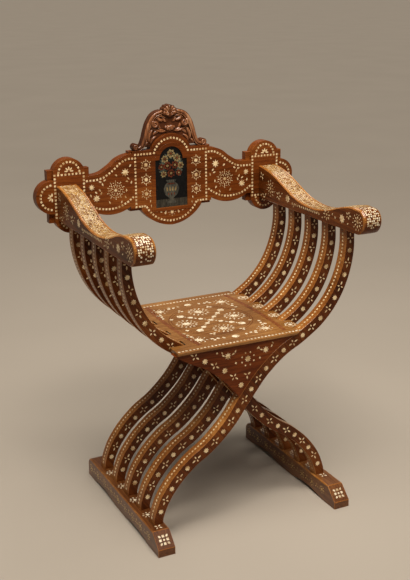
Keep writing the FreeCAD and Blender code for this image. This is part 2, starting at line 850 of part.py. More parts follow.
def make_crest():
    # Half of it is drawn, mirrored and joined to the shell in the middle
    half = crest_plate(crest_places(crest_field_shares), crest_field_thickness)
    foot_x = crest_half_width - crest_foot_radius
    foot_z = centre_top + crest_foot_radius + fixed_gap
    half = half.fuse([
        crest_band(),
        crest_disc(crest_volute_x, centre_top + crest_volute_rise, crest_volute_radius, crest_thickness),
        crest_disc(foot_x, foot_z, crest_foot_radius, crest_band_thickness),
        crest_plate(crest_places(crest_leaf_shares), crest_leaf_thickness),
    ])
    hole_z = centre_top + crest_hole_rise
    half = half.cut(crest_disc(crest_hole_x, hole_z, crest_hole_radius, crest_thickness + cut_over))
    crest = half.fuse([mirrored(half), crest_shell()])
    arch_z = top_arch_apex - top_arch_radius
    crest = crest.cut(crest_disc(0, arch_z, top_arch_radius + fixed_gap, crest_thickness + cut_over))
    shoulder = box(-crest_half_width, crest_half_width, back_front_y - cut_over, half_depth + cut_over,
                   centre_bottom, centre_top + fixed_gap)
    crest = largest(crest.cut(shoulder)).removeSplitter()
    return crest.cut(crest_dowel_shape(fixed_gap))


# The pivot and the rods

def make_pivot_rod():
    return rod_along_y(0, pivot_height, slat_front_y + pivot_cover, stack_rear_y, pivot_rod_diameter)


def eight_sided(front, thickness):
    corners = []
    for place in range(spacer_sides):
        angle = 2 * math.pi * (place + 1 / 2) / spacer_sides
        corners.append(vec(spacer_diameter / 2 * math.cos(angle), front,
                           pivot_height + spacer_diameter / 2 * math.sin(angle)))
    sides = [line(corners[i - 1], corners[i]) for i in range(spacer_sides)]
    return solid_of(sides, vec(0, thickness, 0))


def make_spacers():
    rings = []
    for place in range(slat_layers - 1):
        front = slat_front_y + place * layer_pitch + slat_thickness + running_gap / 2
        thickness = spacer_thickness - running_gap
        ring = eight_sided(front, thickness)
        bore = rod_along_y(0, pivot_height, front - cut_over, front + thickness + cut_over,
                           pivot_rod_diameter + 2 * fixed_gap)
        rings.append(ring.cut(bore))
    return Part.makeCompound(rings)


def make_pivot_cap():
    cap = rod_along_y(0, pivot_height, stack_rear_y + running_gap, stack_rear_y + pivot_cap_height,
                      pivot_cap_diameter)

    def rear_rim(edge):
        return edge.BoundBox.YMin > stack_rear_y + pivot_cap_height - fixed_gap

    return bevel_edges(cap, rear_rim, pivot_cap_bevel)


def make_hinge_rod():
    start = slat_y(0, False) + rod_end_cover + bore_gap
    end = slat_y(slats_a_side - 1, True) + slat_thickness - rod_end_cover
    return rod_along_y(-hinge_x, hinge_z, start, end, hinge_rod_diameter)


def make_rest_rod():
    start = slat_y(0, False) + rod_end_cover
    end = slat_y(slats_a_side - 1, False) + slat_thickness
    return rod_along_y(hinge_x, rest_z, start, end, rest_rod_diameter)


def make_pivot_pin():
    return rod_along_y(-back_block_x, back_block_z, arm_rear_y - back_pin_in_arm,
                       back_front_y + back_pin_in_board, back_pin_diameter)


def make_catch_pin():
    return rod_along_y(back_block_x, back_block_z, arm_rear_y - catch_pin_in_arm,
                       back_front_y + back_pin_in_board, back_pin_diameter)


def make_pegs(left, in_rail):
    place = 1 if in_rail else 0
    return Part.makeCompound([peg(peg_centres(index, left)[place], 0) for index in range(slats_a_side)])


for slat_index in range(slats_a_side):
    save(make_slat(slat_index, False), "right_slat_" + str(slat_index + 1))
    save(make_slat(slat_index, True), "left_slat_" + str(slat_index + 1))
save(make_arm(False), "right_arm")
save(make_arm(True), "left_arm")
save(make_rail(True), "right_foot_rail")
save(make_rail(False), "left_foot_rail")
save(make_seat(), "seat_board")
save(make_apron(), "front_apron")
save(make_back(), "back_board")
save(make_panel(), "picture_panel")
save(make_fillet(), "panel_fillet")
save(make_crest(), "crest")
save(crest_dowel_shape(0), "crest_dowels")
save(make_pivot_rod(), "pivot_rod")
save(make_spacers(), "pivot_spacers")
save(make_pivot_cap(), "pivot_cap")
save(make_hinge_rod(), "seat_hinge_rod")
save(make_rest_rod(), "seat_rest_rod")
save(make_pivot_pin(), "back_pivot_pin")
save(make_catch_pin(), "back_catch_pin")
save(make_pegs(False, False), "right_arm_pegs")
save(make_pegs(True, False), "left_arm_pegs")
save(make_pegs(False, True), "left_rail_pegs")
save(make_pegs(True, True), "right_rail_pegs")
print("seat hinge at", hinge_x, hinge_z, "and the catch pin leaves towards", catch_path_end())
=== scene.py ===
"""Savonarola chair in inlaid walnut: its finishes, bone inlay, carving and painted panel.

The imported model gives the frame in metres. Sizes in this file are in millimetres and are turned
into metres where points are made.
"""
import json
import logging
import math
import random
from collections.abc import Callable, Iterable, Sequence
from dataclasses import dataclass
from enum import Enum

import bmesh
import bpy
from mathutils import Matrix, Vector


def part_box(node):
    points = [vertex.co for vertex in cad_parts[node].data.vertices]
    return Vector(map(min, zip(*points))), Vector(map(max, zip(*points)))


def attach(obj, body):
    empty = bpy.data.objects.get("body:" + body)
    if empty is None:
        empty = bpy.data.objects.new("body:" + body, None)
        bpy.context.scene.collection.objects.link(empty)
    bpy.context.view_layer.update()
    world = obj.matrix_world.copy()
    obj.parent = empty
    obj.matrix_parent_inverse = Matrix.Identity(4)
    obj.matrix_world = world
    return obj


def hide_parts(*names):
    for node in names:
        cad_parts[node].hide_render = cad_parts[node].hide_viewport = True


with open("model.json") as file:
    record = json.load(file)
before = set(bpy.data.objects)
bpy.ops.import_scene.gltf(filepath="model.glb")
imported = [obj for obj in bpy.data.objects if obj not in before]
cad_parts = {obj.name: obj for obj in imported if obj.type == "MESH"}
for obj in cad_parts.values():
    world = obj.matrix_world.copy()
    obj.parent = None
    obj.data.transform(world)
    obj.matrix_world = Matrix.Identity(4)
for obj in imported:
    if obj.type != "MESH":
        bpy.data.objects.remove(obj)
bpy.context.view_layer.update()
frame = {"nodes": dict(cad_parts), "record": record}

MM = 0.001
TURN = 2 * math.pi
WELD = 0.001 * MM
TOUCH = 0.01 * MM
FLAT_ANGLE = math.radians(0.4)
EDGE_ANGLE = math.radians(38)
RIGHT = Vector((1, 0, 0))
LEFT = Vector((-1, 0, 0))
REAR = Vector((0, 1, 0))
FRONT = Vector((0, -1, 0))
UP = Vector((0, 0, 1))

Colour = tuple[float, float, float, float]
Outline = list[tuple[float, float]]
Motif = list[Outline]

log = logging.getLogger("savonarola_chair")


def paint(red: int, green: int, blue: int) -> Colour:
    """Turn a colour as seen on a screen, 0 to 255, into a linear one.

    Args:
        red: Its red part.
        green: Its green part.
        blue: Its blue part.

    Returns:
        The linear colour with full opacity.
    """
    def linear(part: float) -> float:
        """Give the linear value of one part, from 0 to 1."""
        return part / 12.92 if part <= 0.04045 else ((part + 0.055) / 1.055) ** 2.4

    return (linear(red / 255), linear(green / 255), linear(blue / 255), 1.0)


class Shade:
    """A shader value that can stand in a sum; each sum adds its Math node."""

    def __init__(self, bench: "Bench", socket: bpy.types.NodeSocket | None) -> None:
        """Hold a socket of a material that is being laid."""
        self.bench = bench
        self.socket = socket

    def _sum(self, operation: str, *values: "Shade | float", clamp: bool = False) -> "Shade":
        """Add one Math node.

        Args:
            operation: The node's operation.
            values: What goes into its sockets, in order.
            clamp: Whether the result is kept from 0 to 1.

        Returns:
            The node's result.
        """
        settings = {"operation": operation, "use_clamp": clamp}
        return self.bench.node("ShaderNodeMath", settings, dict(enumerate(values)))

    def __add__(self, other: "Shade | float") -> "Shade":
        """Give self + other."""
        return self._sum("ADD", self, other)

    __radd__ = __add__

    def __sub__(self, other: "Shade | float") -> "Shade":
        """Give self - other."""
        return self._sum("SUBTRACT", self, other)

    def __rsub__(self, other: "Shade | float") -> "Shade":
        """Give other - self."""
        return self._sum("SUBTRACT", other, self)

    def __mul__(self, other: "Shade | float") -> "Shade":
        """Give self * other."""
        return self._sum("MULTIPLY", self, other)

    __rmul__ = __mul__

    def wave(self) -> "Shade":
        """Give a smooth wave from 0 to 1 that runs once for each whole step of self."""
        return self._sum("SINE", self * TURN) * 0.5 + 0.5

    def clamped(self) -> "Shade":
        """Give self kept from 0 to 1."""
        return self._sum("ADD", self, 0.0, clamp=True)


class Bench:
    """Where the nodes of one material are laid."""

    def __init__(self, name: str) -> None:
        """Start an empty material.

        Args:
            name: The material's name.
        """
        self.material = bpy.data.materials.new(name)
        self.material.use_nodes = True
        self.tree = self.material.node_tree
        self.tree.nodes.clear()

    def node(self, kind: str, settings: dict, sockets: dict, result: int | str = 0) -> Shade:
        """Add any node.

        Args:
            kind: The node's type.
            settings: Its settings, set first; stops are a ramp's places and colours.
            sockets: The value or link of each socket, by name or place.
            result: Which of its outputs is used.

        Returns:
            That output, or nothing to link where the node has none.
        """
        made = self.tree.nodes.new(kind)
        for key, value in settings.items():
            if key == "stops":
                self._set_stops(made.color_ramp, value)
            else:
                setattr(made, key, value)
        for key, value in sockets.items():
            if isinstance(value, Shade):
                self.tree.links.new(value.socket, made.inputs[key])
            else:
                made.inputs[key].default_value = value
        return Shade(self, made.outputs[result] if made.outputs else None)

    @staticmethod
    def _set_stops(ramp: bpy.types.ColorRamp, stops: Sequence[tuple[float, Colour]]) -> None:
        """Give a ramp its places and colours.

        Args:
            ramp: The ramp.
            stops: Each place, from 0 to 1, with its colour.
        """
        while len(ramp.elements) < len(stops):
            ramp.elements.new(1.0)
        for element, (place, colour) in zip(ramp.elements, stops):
            element.position = place
            element.color = colour

    def places(self, stretch: tuple[float, float, float] = (1, 1, 1), tilt: float = 0.0) -> Shade:
        """Give object coordinates, stretched along the grain.

        Args:
            stretch: The scale along each axis; under 1 draws a pattern out.
            tilt: The turn of the grain about the Y axis, in degrees.

        Returns:
            The coordinates.
        """
        here = self.node("ShaderNodeTexCoord", {}, {}, "Object")
        turned = self.node(
            "ShaderNodeMapping", {}, {"Vector": here, "Rotation": (0, math.radians(tilt), 0)}
        )
        return self.node("ShaderNodeMapping", {}, {"Vector": turned, "Scale": stretch})

    def noise(self, places: Shade, scale: float, detail: float = 3.0, warp: float = 0.0) -> Shade:
        """Give a cloudy value from 0 to 1.

        Args:
            places: The coordinates.
            scale: How many clouds there are to a metre.
            detail: How fine its detail goes.
            warp: How much it is bent about.

        Returns:
            The value.
        """
        sockets = {"Vector": places, "Scale": scale, "Detail": detail, "Distortion": warp}
        return self.node("ShaderNodeTexNoise", {}, sockets, "Fac")

    def chips(self, places: Shade, scale: float) -> Shade:
        """Give a value that differs from one small cell to the next."""
        cells = self.node("ShaderNodeTexVoronoi", {}, {"Vector": places, "Scale": scale}, "Color")
        return self.node("ShaderNodeSeparateColor", {}, {"Color": cells}, "Red")

    def ramp(self, value: Shade, *stops: tuple[float, Colour]) -> Shade:
        """Give the colour that a ramp has at a value."""
        return self.node("ShaderNodeValToRGB", {"stops": stops}, {"Fac": value}, "Color")

    def blend(self, share: Shade | float, first: Shade | Colour, second: Shade | Colour) -> Shade:
        """Give a mix of two colours."""
        return self.node("ShaderNodeMix", {"data_type": "RGBA"}, {0: share, 6: first, 7: second}, 2)

    def bump(self, height: Shade, strength: float, distance: float) -> Shade:
        """Give a normal that follows a height, with its distance in millimetres."""
        sockets = {"Height": height, "Strength": strength, "Distance": distance * MM}
        return self.node("ShaderNodeBump", {}, sockets, "Normal")

    def finish(self, sockets: dict) -> bpy.types.Material:
        """End the material with its surface shader.

        Args:
            sockets: The shader's values and links.

        Returns:
            The material.
        """
        surface = self.node("ShaderNodeBsdfPrincipled", {}, sockets, "BSDF")
        self.node("ShaderNodeOutputMaterial", {}, {"Surface": surface})
        return self.material


class Grain(Enum):
    """Which way a board's grain runs, as the stretch of its pattern."""

    SIDEWAYS = (0.055, 1.0, 1.0)
    FRONT_TO_BACK = (1.0, 0.055, 1.0)
    UPRIGHT = (1.0, 1.0, 0.055)


@dataclass(frozen=True)
class Walnut:
    """Oiled and waxed walnut."""

    name: str
    dark: Colour
    middle: Colour
    light: Colour
    grain: Grain = Grain.UPRIGHT
    tilt: float = 0.0
    roughness: float = 0.40
    wax: float = 0.08
    shine: float = 0.12
    drift_scale: float = 7.0
    figure_scale: float = 62.0
    fibre_scale: float = 900.0
    pore_scale: float = 1500.0
    pores_from: float = 0.60

    def lay(self) -> bpy.types.Material:
        """Lay the material.

        Returns:
            The material.
        """
        bench = Bench(self.name)
        along = bench.places(self.grain.value, self.tilt)
        here = bench.places()
        drift = bench.noise(here, self.drift_scale, 2.0)
        figure = bench.noise(along, self.figure_scale, 5.0, 0.9)
        rings = (figure * 5.0 + drift * 2.0).wave()
        fibre = bench.noise(along, self.fibre_scale, 2.0)
        tone = drift * 0.46 + figure * 0.24 + rings * 0.12 + fibre * 0.18
        colour = bench.ramp(tone, (0.26, self.dark), (0.50, self.middle), (0.76, self.light))
        pits = bench.noise(along, self.pore_scale, 1.0)
        pores = ((pits - self.pores_from) * 7.0).clamped()
        colour = bench.blend(pores * 0.55, colour, self.dark)
        polish = self.roughness + (figure - 0.5) * 0.10 + pores * 0.12
        relief = bench.bump(fibre * 0.5 + figure * 0.3 - pores * 0.8, 0.30, 0.12)
        return bench.finish({
            "Base Color": colour,
            "Roughness": polish,
            "Normal": relief,
            "Coat Weight": self.wax,
            "Coat Roughness": 0.14,
            "Specular IOR Level": self.shine,
        })


@dataclass(frozen=True)
class Bone:
    """Polished bone chips, each cut from its own piece."""

    name: str
    dark: Colour
    light: Colour
    roughness: float = 0.32
    chip_scale: float = 115.0
    cloud_scale: float = 420.0
    vein_scale: float = 1600.0

    def lay(self) -> bpy.types.Material:
        """Lay the material.

        Returns:
            The material.
        """
        bench = Bench(self.name)
        here = bench.places()
        chip = bench.chips(here, self.chip_scale)
        cloud = bench.noise(here, self.cloud_scale, 3.0)
        veins = bench.noise(bench.places((1.0, 1.0, 0.3)), self.vein_scale, 2.0)
        colour = bench.ramp(chip * 0.55 + cloud * 0.45, (0.18, self.dark), (0.62, self.light))
        colour = bench.blend(((veins - 0.58) * 5.0).clamped() * 0.35, colour, self.dark)
        return bench.finish({
            "Base Color": colour,
            "Roughness": self.roughness + (cloud - 0.5) * 0.16,
            "Normal": bench.bump(cloud, 0.25, 0.05),
            "Coat Weight": 0.25,
            "Coat Roughness": 0.12,
        })


@dataclass(frozen=True)
class Paint:
    """Old oil paint under varnish, with a fine net of cracks."""

    name: str
    dark: Colour
    light: Colour
    roughness: float = 0.38
    stroke_scale: float = 210.0
    crack_scale: float = 170.0

    def lay(self) -> bpy.types.Material:
        """Lay the material.

        Returns:
            The material.
        """
        bench = Bench(self.name)
        here = bench.places()
        upright = bench.places((1.0, 1.0, 0.35))
        strokes = bench.noise(upright, self.stroke_scale, 5.0, 1.2)
        colour = bench.ramp(strokes, (0.30, self.dark), (0.68, self.light))
        sockets = {"Vector": here, "Scale": self.crack_scale}
        edge = bench.node(
            "ShaderNodeTexVoronoi", {"feature": "DISTANCE_TO_EDGE"}, sockets, "Distance"
        )
        cracks = (1.0 - edge * 30.0).clamped()
        colour = bench.blend(cracks * 0.35, colour, self.dark)
        return bench.finish({
            "Base Color": colour,
            "Roughness": self.roughness + strokes * 0.12,
            "Normal": bench.bump(strokes * 0.6 - cracks * 0.5, 0.35, 0.12),
            "Coat Weight": 0.1,
            "Coat Roughness": 0.2,
            "Specular IOR Level": 0.2,
        })


@dataclass(frozen=True)
class Iron:
    """Blackened iron rod, rubbed bright in places."""

    name: str
    dark: Colour
    light: Colour
    rust_scale: float = 160.0
    rub_scale: float = 600.0

    def lay(self) -> bpy.types.Material:
        """Lay the material.

        Returns:
            The material.
        """
        bench = Bench(self.name)
        here = bench.places()
        rust = bench.noise(here, self.rust_scale, 5.0, 0.4)
        rubs = bench.noise(bench.places((1.0, 0.1, 1.0)), self.rub_scale, 2.0)
        colour = bench.ramp(rust * 0.6 + rubs * 0.4, (0.35, self.dark), (0.65, self.light))
        return bench.finish({
            "Base Color": colour,
            "Metallic": 0.85 - rust * 0.4,
            "Roughness": 0.32 + rust * 0.35,
            "Normal": bench.bump(rust + rubs * 0.4, 0.35, 0.08),
        })


@dataclass(frozen=True)
class Ground:
    """The plain pale floor."""

    name: str
    colour: Colour

    def lay(self) -> bpy.types.Material:
        """Lay the material.

        Returns:
            The material.
        """
        bench = Bench(self.name)
        cloud = bench.noise(bench.places(), 1.5, 2.0)
        paler = tuple(min(part * 1.04, 1.0) for part in self.colour[:3]) + (1.0,)
        colour = bench.ramp(cloud, (0.3, self.colour), (0.7, paler))
        return bench.finish({"Base Color": colour, "Roughness": 0.9, "Specular IOR Level": 0.1})


FINISHES = {
    "frame": Walnut(
        "frame_walnut", paint(36, 14, 3), paint(88, 41, 12), paint(130, 71, 27), tilt=38.0,
    ),
    # Lighter walnut for the slats' edge faces: a painted highlight where they catch the light.
    "slat_side_painted_highlight": Walnut(
        "slat_side_walnut_painted_highlight", paint(66, 31, 8), paint(136, 80, 31), paint(192, 132, 66), tilt=38.0,
        roughness=0.34, wax=0.12, shine=0.15,
    ),
    "rail": Walnut(
        "rail_walnut", paint(44, 20, 6), paint(98, 54, 22), paint(144, 92, 46),
        Grain.FRONT_TO_BACK, roughness=0.36, wax=0.35, shine=0.28,
    ),
    "arm": Walnut(
        "arm_walnut", paint(43, 17, 3), paint(101, 50, 15), paint(142, 83, 32), Grain.FRONT_TO_BACK,
    ),
    "seat": Walnut(
        "seat_walnut", paint(66, 34, 9), paint(130, 84, 38), paint(172, 122, 66), Grain.SIDEWAYS,
        roughness=0.28, wax=0.30, shine=0.22,
    ),
    "banding": Walnut(
        "banding_walnut", paint(58, 24, 9), paint(116, 64, 31), paint(152, 96, 52),
        roughness=0.3, wax=0.3,
    ),
    "apron": Walnut(
        "apron_walnut", paint(52, 18, 3), paint(100, 44, 12), paint(136, 70, 24), Grain.SIDEWAYS,
    ),
    "back": Walnut(
        "back_walnut", paint(56, 22, 3), paint(108, 52, 15), paint(144, 82, 30), Grain.SIDEWAYS,
    ),
    # Darker walnut for the crest's body: painted shade in the hollows between the carved ridges.
    "crest": Walnut(
        "crest_walnut_painted_shade", paint(30, 13, 5), paint(80, 41, 19), paint(128, 78, 42), Grain.SIDEWAYS,
    ),
    # Lighter walnut for the carved ridges: a painted highlight on their crowns.
    "carving_painted_highlight": Walnut(
        "carved_walnut_painted_highlight", paint(62, 31, 15), paint(136, 83, 48), paint(206, 158, 118),
        roughness=0.3, wax=0.6, shine=0.3,
    ),
    "edge": Walnut(
        "worn_walnut", paint(84, 42, 12), paint(146, 88, 36), paint(196, 138, 70),
        roughness=0.28, wax=0.3, shine=0.2,
    ),
    # Golden walnut for the strips along the arm tops' edges: a painted highlight on those edges.
    "lip": Walnut(
        "golden_walnut_painted_highlight", paint(104, 58, 16), paint(164, 106, 44), paint(206, 150, 80),
        Grain.FRONT_TO_BACK, roughness=0.24, wax=0.45, shine=0.25,
    ),
    "dowel": Walnut("dowel_walnut", paint(48, 22, 6), paint(92, 50, 20), paint(128, 78, 36)),
    "bone": Bone("bone", paint(168, 126, 72), paint(236, 210, 163)),
    # Paler bone with less roughness: a painted sheen on the seat, the scroll and the rails' tops
    # and toes.
    "polished_bone": Bone("polished_bone", paint(184, 152, 108), paint(240, 225, 194), 0.26),
    "stained_bone": Bone("stained_bone", paint(110, 76, 28), paint(206, 166, 92)),
    "dark_paint": Paint("panel_ground", paint(3, 4, 5), paint(14, 14, 14)),
    "cream_paint": Paint("cream_paint", paint(92, 74, 46), paint(160, 138, 94)),
    "russet_paint": Paint("russet_paint", paint(50, 18, 8), paint(112, 54, 28)),
    "sage_paint": Paint("sage_paint", paint(34, 40, 36), paint(88, 92, 78)),
    "slate_paint": Paint("slate_paint", paint(36, 37, 34), paint(88, 84, 72)),
    "stone_paint": Paint("stone_paint", paint(34, 31, 25), paint(70, 65, 54)),
    "iron": Iron("blackened_iron", paint(26, 24, 22), paint(96, 90, 84)),
    "ground": Ground("pale_floor", paint(172, 161, 147)),
}


class Finishes:
    """The materials, each laid when it is first asked for."""

    def __init__(self) -> None:
        """Start with nothing laid."""
        self._laid: dict[str, bpy.types.Material] = {}

    def __getitem__(self, name: str) -> bpy.types.Material:
        """Give a material.

        Args:
            name: Its name in the list of finishes.

        Returns:
            The material.
        """
        if name not in self._laid:
            self._laid[name] = FINISHES[name].lay()
        return self._laid[name]


finishes = Finishes()
NODE_BODY = {
    node: body for body, nodes in frame["record"]["behaviour"]["bodies"].items() for node in nodes
}


def set_down(name: str, mesh: bpy.types.Mesh, body: str, slot: str) -> bpy.types.Object:
    """Put a new piece in the scene.

    Args:
        name: The piece's name.
        mesh: Its mesh, with its materials.
        body: The body that it rides on.
        slot: The record's slot for the piece; not used.

    Returns:
        The piece.
    """
    piece = bpy.data.objects.new(name, mesh)
    bpy.context.scene.collection.objects.link(piece)
    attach(piece, body)
    log.info("%s rides on %s with %d faces", name, body, len(mesh.polygons))
    return piece


def clean_copy(node: str) -> bmesh.types.BMesh:
    """Copy a node's mesh with its flat faces whole.

    Args:
        node: The node's name.

    Returns:
        The copy, which the caller frees.
    """
    work = bmesh.new()
    work.from_mesh(frame["nodes"][node].data)
    bmesh.ops.remove_doubles(work, verts=work.verts, dist=WELD)
    bmesh.ops.dissolve_limit(work, angle_limit=FLAT_ANGLE, verts=work.verts, edges=work.edges)
    return work


def worn_piece(
    node: str,
    slot: str,
    finish: str,
    arris: float,
    edge: str = "edge",
    side: str | None = None,
    reshape: Callable[[bmesh.types.BMesh], None] | None = None,
) -> bpy.types.Object:
    """Stand a copy of a node in its place, with rounded and rubbed edges.

    Args:
        node: The node's name.
        slot: The record's slot.
        finish: The finish of its faces.
        arris: How wide its edges are worn, in millimetres.
        edge: The finish of its worn edges.
        side: The finish of the faces that look sideways, where they have their own.
        reshape: What is done to the copy before it is worn, if anything.

    Returns:
        The piece.
    """
    work = clean_copy(node)
    if reshape:
        reshape(work)
    mesh = bpy.data.meshes.new(node + "_worn")
    work.to_mesh(mesh)
    work.free()
    mesh.materials.clear()
    mesh.materials.append(finishes[finish])
    mesh.materials.append(finishes[edge])
    mesh.materials.append(finishes[side or finish])
    for face in mesh.polygons:
        face.material_index = 0 if abs(face.normal.y) > 0.5 else 2
        face.use_smooth = True
    mesh.set_sharp_from_angle(angle=EDGE_ANGLE)
    piece = set_down(node + "_worn", mesh, NODE_BODY[node], slot)
    wear = piece.modifiers.new("worn edges", "BEVEL")
    wear.width = arris * MM
    wear.segments = 2
    wear.limit_method = "ANGLE"
    wear.angle_limit = EDGE_ANGLE
    wear.material = 1
    piece.modifiers.new("flat faces", "WEIGHTED_NORMAL").keep_sharp = True
    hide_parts(node)
    return piece


def dress(node: str, finish: str) -> None:
    """Give a node of the frame its finish.

    Args:
        node: The node's name.
        finish: The finish's name.
    """
    mesh = frame["nodes"][node].data
    mesh.materials.clear()
    mesh.materials.append(finishes[finish])
    log.info("%s takes %s", node, finish)


def closed_mesh(
    name: str, points: Sequence[Vector], faces: Sequence[Sequence[int]]
) -> bpy.types.Mesh:
    """Make a mesh of closed pieces whose faces all look outwards.

    Args:
        name: The mesh's name.
        points: Its points.
        faces: The points of each face.

    Returns:
        The mesh.
    """
    mesh = bpy.data.meshes.new(name)
    mesh.from_pydata([tuple(point) for point in points], [], faces)
    work = bmesh.new()
    work.from_mesh(mesh)
    bmesh.ops.recalc_face_normals(work, faces=work.faces)
    work.to_mesh(mesh)
    work.free()
    return mesh


@dataclass(frozen=True)
class Spot:
    """A place on a surface and the three ways from it."""

    origin: Vector
    along: Vector
    across: Vector

    @property
    def out(self) -> Vector:
        """Give the way out of the surface."""
        return self.along.cross(self.across)


@dataclass(frozen=True)
class Flat:
    """A flat face. Places on it are given along and across it, in millimetres."""

    origin: Vector
    along: Vector
    across: Vector

    def spot(self, along: float, across: float) -> Spot:
        """Give the place at these distances."""
        place = self.origin + self.along * along * MM + self.across * across * MM
        return Spot(place, self.along, self.across)


class Lie(Enum):
    """How a surface lies along its line: the line is in the face, or the face stands on it."""

    IN_FACE = "in face"
    ON_EDGE = "on edge"


class Course:
    """A surface that follows a line: a curved face seen square on, or the edge of one."""

    def __init__(self, line: Sequence[Vector], fixed: Vector, lie: Lie, lift: float = 0.0) -> None:
        """Measure the line.

        Args:
            line: Its points in order, in metres.
            fixed: The way out of the face, or the way across the edge.
            lie: Which of the two it is.
            lift: How far the surface stands off the line, in millimetres.
        """
        self.line = list(line)
        self.fixed = fixed
        self.lie = lie
        self.lift = lift
        self.runs = [0.0]
        for start, end in zip(self.line, self.line[1:]):
            self.runs.append(self.runs[-1] + (end - start).length / MM)

    @property
    def length(self) -> float:
        """Give the line's length in millimetres."""
        return self.runs[-1]

    def point(self, run: float) -> Vector:
        """Give a point of the line.

        Args:
            run: Its distance along the line, in millimetres.

        Returns:
            The point.
        """
        run = min(max(run, 0.0), self.length)
        place = 1
        while place < len(self.runs) - 1 and self.runs[place] < run:
            place += 1
        low, high = self.runs[place - 1], self.runs[place]
        share = (run - low) / (high - low) if high > low else 0.0
        return self.line[place - 1].lerp(self.line[place], share)

    def spot(self, along: float, across: float) -> Spot:
        """Give a place on the surface.

        Args:
            along: Its distance along the line, in millimetres.
            across: Its distance across it.

        Returns:
            The place.
        """
        reach = 4.0
        ahead = (self.point(along + reach) - self.point(along - reach)).normalized()
        if self.lie is Lie.IN_FACE:
            side = self.fixed.cross(ahead)
            return Spot(self.point(along) + side * across * MM, ahead, side)
        out = ahead.cross(self.fixed)
        place = self.point(along) + self.fixed * across * MM + out * self.lift * MM
        return Spot(place, ahead, self.fixed)


Surface = Flat | Course


def face_loop(node: str, out: Vector, skip: Callable[[Vector], bool]) -> list[Vector]:
    """Follow the outline of a node's outermost flat face.

    Args:
        node: The node's name.
        out: The way that the face looks.
        skip: Says of a point whether it is on a bore and is left out.

    Returns:
        The outline's points in order.
    """
    work = clean_copy(node)
    far = max(vertex.co.dot(out) for vertex in work.verts)
    links: dict[int, list[int]] = {}
    for edge in work.edges:
        ends = edge.verts
        if any(far - end.co.dot(out) > TOUCH or skip(end.co) for end in ends):
            continue
        facing = [face for face in edge.link_faces if face.normal.dot(out) > 0.99]
        if len(facing) == 1:
            for end, other in (ends, reversed(ends)):
                links.setdefault(end.index, []).append(other.index)
    places = {vertex.index: vertex.co.copy() for vertex in work.verts}
    work.free()
    start = max(links, key=lambda index: places[index].z)
    loop = [start]
    while True:
        onward = [index for index in links[loop[-1]] if index not in loop[-2:-1]]
        if not onward or onward[0] == start or onward[0] in loop:
            break
        loop.append(onward[0])
    return [places[index] for index in loop]


def lozenge(length: float, width: float) -> Outline:
    """Give a four-pointed chip."""
    return [(-length / 2, 0), (0, -width / 2), (length / 2, 0), (0, width / 2)]


def petal(length: float, width: float) -> Outline:
    """Give a leaf-shaped chip.

    Args:
        length: How long it is.
        width: How wide it is at its middle.

    Returns:
        Its outline.
    """
    bow = width / 2
    return [
        (-length / 2, 0), (-length / 5, -bow), (length / 5, -bow * 0.9),
        (length / 2, 0), (length / 5, bow * 0.9), (-length / 5, bow),
    ]


def square(side: float) -> Outline:
    """Give a square chip."""
    half = side / 2
    return [(-half, -half), (half, -half), (half, half), (-half, half)]


def star(points: int, radius: float, waist_share: float = 0.55) -> Outline:
    """Give a star-shaped chip.

    Args:
        points: How many points it has.
        radius: How far they reach.
        waist_share: How near the notches come to the points' reach.

    Returns:
        Its outline.
    """
    corners = []
    for place in range(2 * points):
        reach = radius if place % 2 == 0 else radius * waist_share
        angle = TURN * place / (2 * points)
        corners.append((reach * math.cos(angle), reach * math.sin(angle)))
    return corners


def moved(outline: Outline, along: float, across: float, turn: float = 0.0) -> Outline:
    """Turn an outline by some degrees and move it."""
    cosine, sine = math.cos(math.radians(turn)), math.sin(math.radians(turn))
    return [(along + a * cosine - b * sine, across + a * sine + b * cosine) for a, b in outline]


def ring(chip: Outline, count: int, radius: float, turn: float = 0.0, start: float = 0.0) -> Motif:
    """Set copies of a chip in a ring.

    Args:
        chip: The chip.
        count: How many there are.
        radius: The ring's radius.
        turn: Each chip's turn from pointing outwards, in degrees.
        start: Where the first one stands, in degrees.

    Returns:
        The chips.
    """
    chips = []
    for place in range(count):
        angle = start + 360 * place / count
        along = radius * math.cos(math.radians(angle))
        across = radius * math.sin(math.radians(angle))
        chips.append(moved(chip, along, across, angle + turn))
    return chips


def zigzag_ring(chip: Outline, count: int, radius: float, lean: float) -> Motif:
    """Set chips in a ring, leaning to one side and the other by turns."""
    return ring(chip, count, radius, 90 - lean) + ring(chip, count, radius, 90 + lean, 180 / count)


def slat_cross() -> Motif:
    """Give the cross of four petals that stands between two stars of a slat."""
    long_pair = ring(petal(9.5, 3.6), 2, 8.6)
    return long_pair + ring(petal(7.0, 3.4), 2, 5.4, 0, 90)


def ringed_star() -> Motif:
    """Give a star in a six-sided ring of lozenges."""
    tips = ring(lozenge(5.4, 2.4), 6, 13.4, 0, 30)
    return [star(8, 6.4)] + zigzag_ring(lozenge(5.6, 2.2), 6, 10.2, 28) + tips


def net_rosette() -> Motif:
    """Give the large rosette: a star in a net of small lozenges.

    Returns:
        Its chips.
    """
    chips = [star(8, 5.4, 0.55)]
    chips += ring(lozenge(5.2, 2.4), 8, 9.2, 0, 22.5)
    chips += zigzag_ring(lozenge(4.8, 2.0), 8, 13.2, 30)
    chips += ring(lozenge(4.4, 2.0), 8, 16.0)
    chips += zigzag_ring(lozenge(5.0, 2.0), 10, 19.4, 32)
    chips += ring(lozenge(4.6, 2.1), 10, 23.2, 0, 18)
    return chips


def petal_rosette(radius: float, petals: int = 8) -> Motif:
    """Give a star with petals round it."""
    length = radius * 0.42
    return [star(8, radius * 0.42)] + ring(petal(length, radius * 0.24), petals, radius * 0.78)


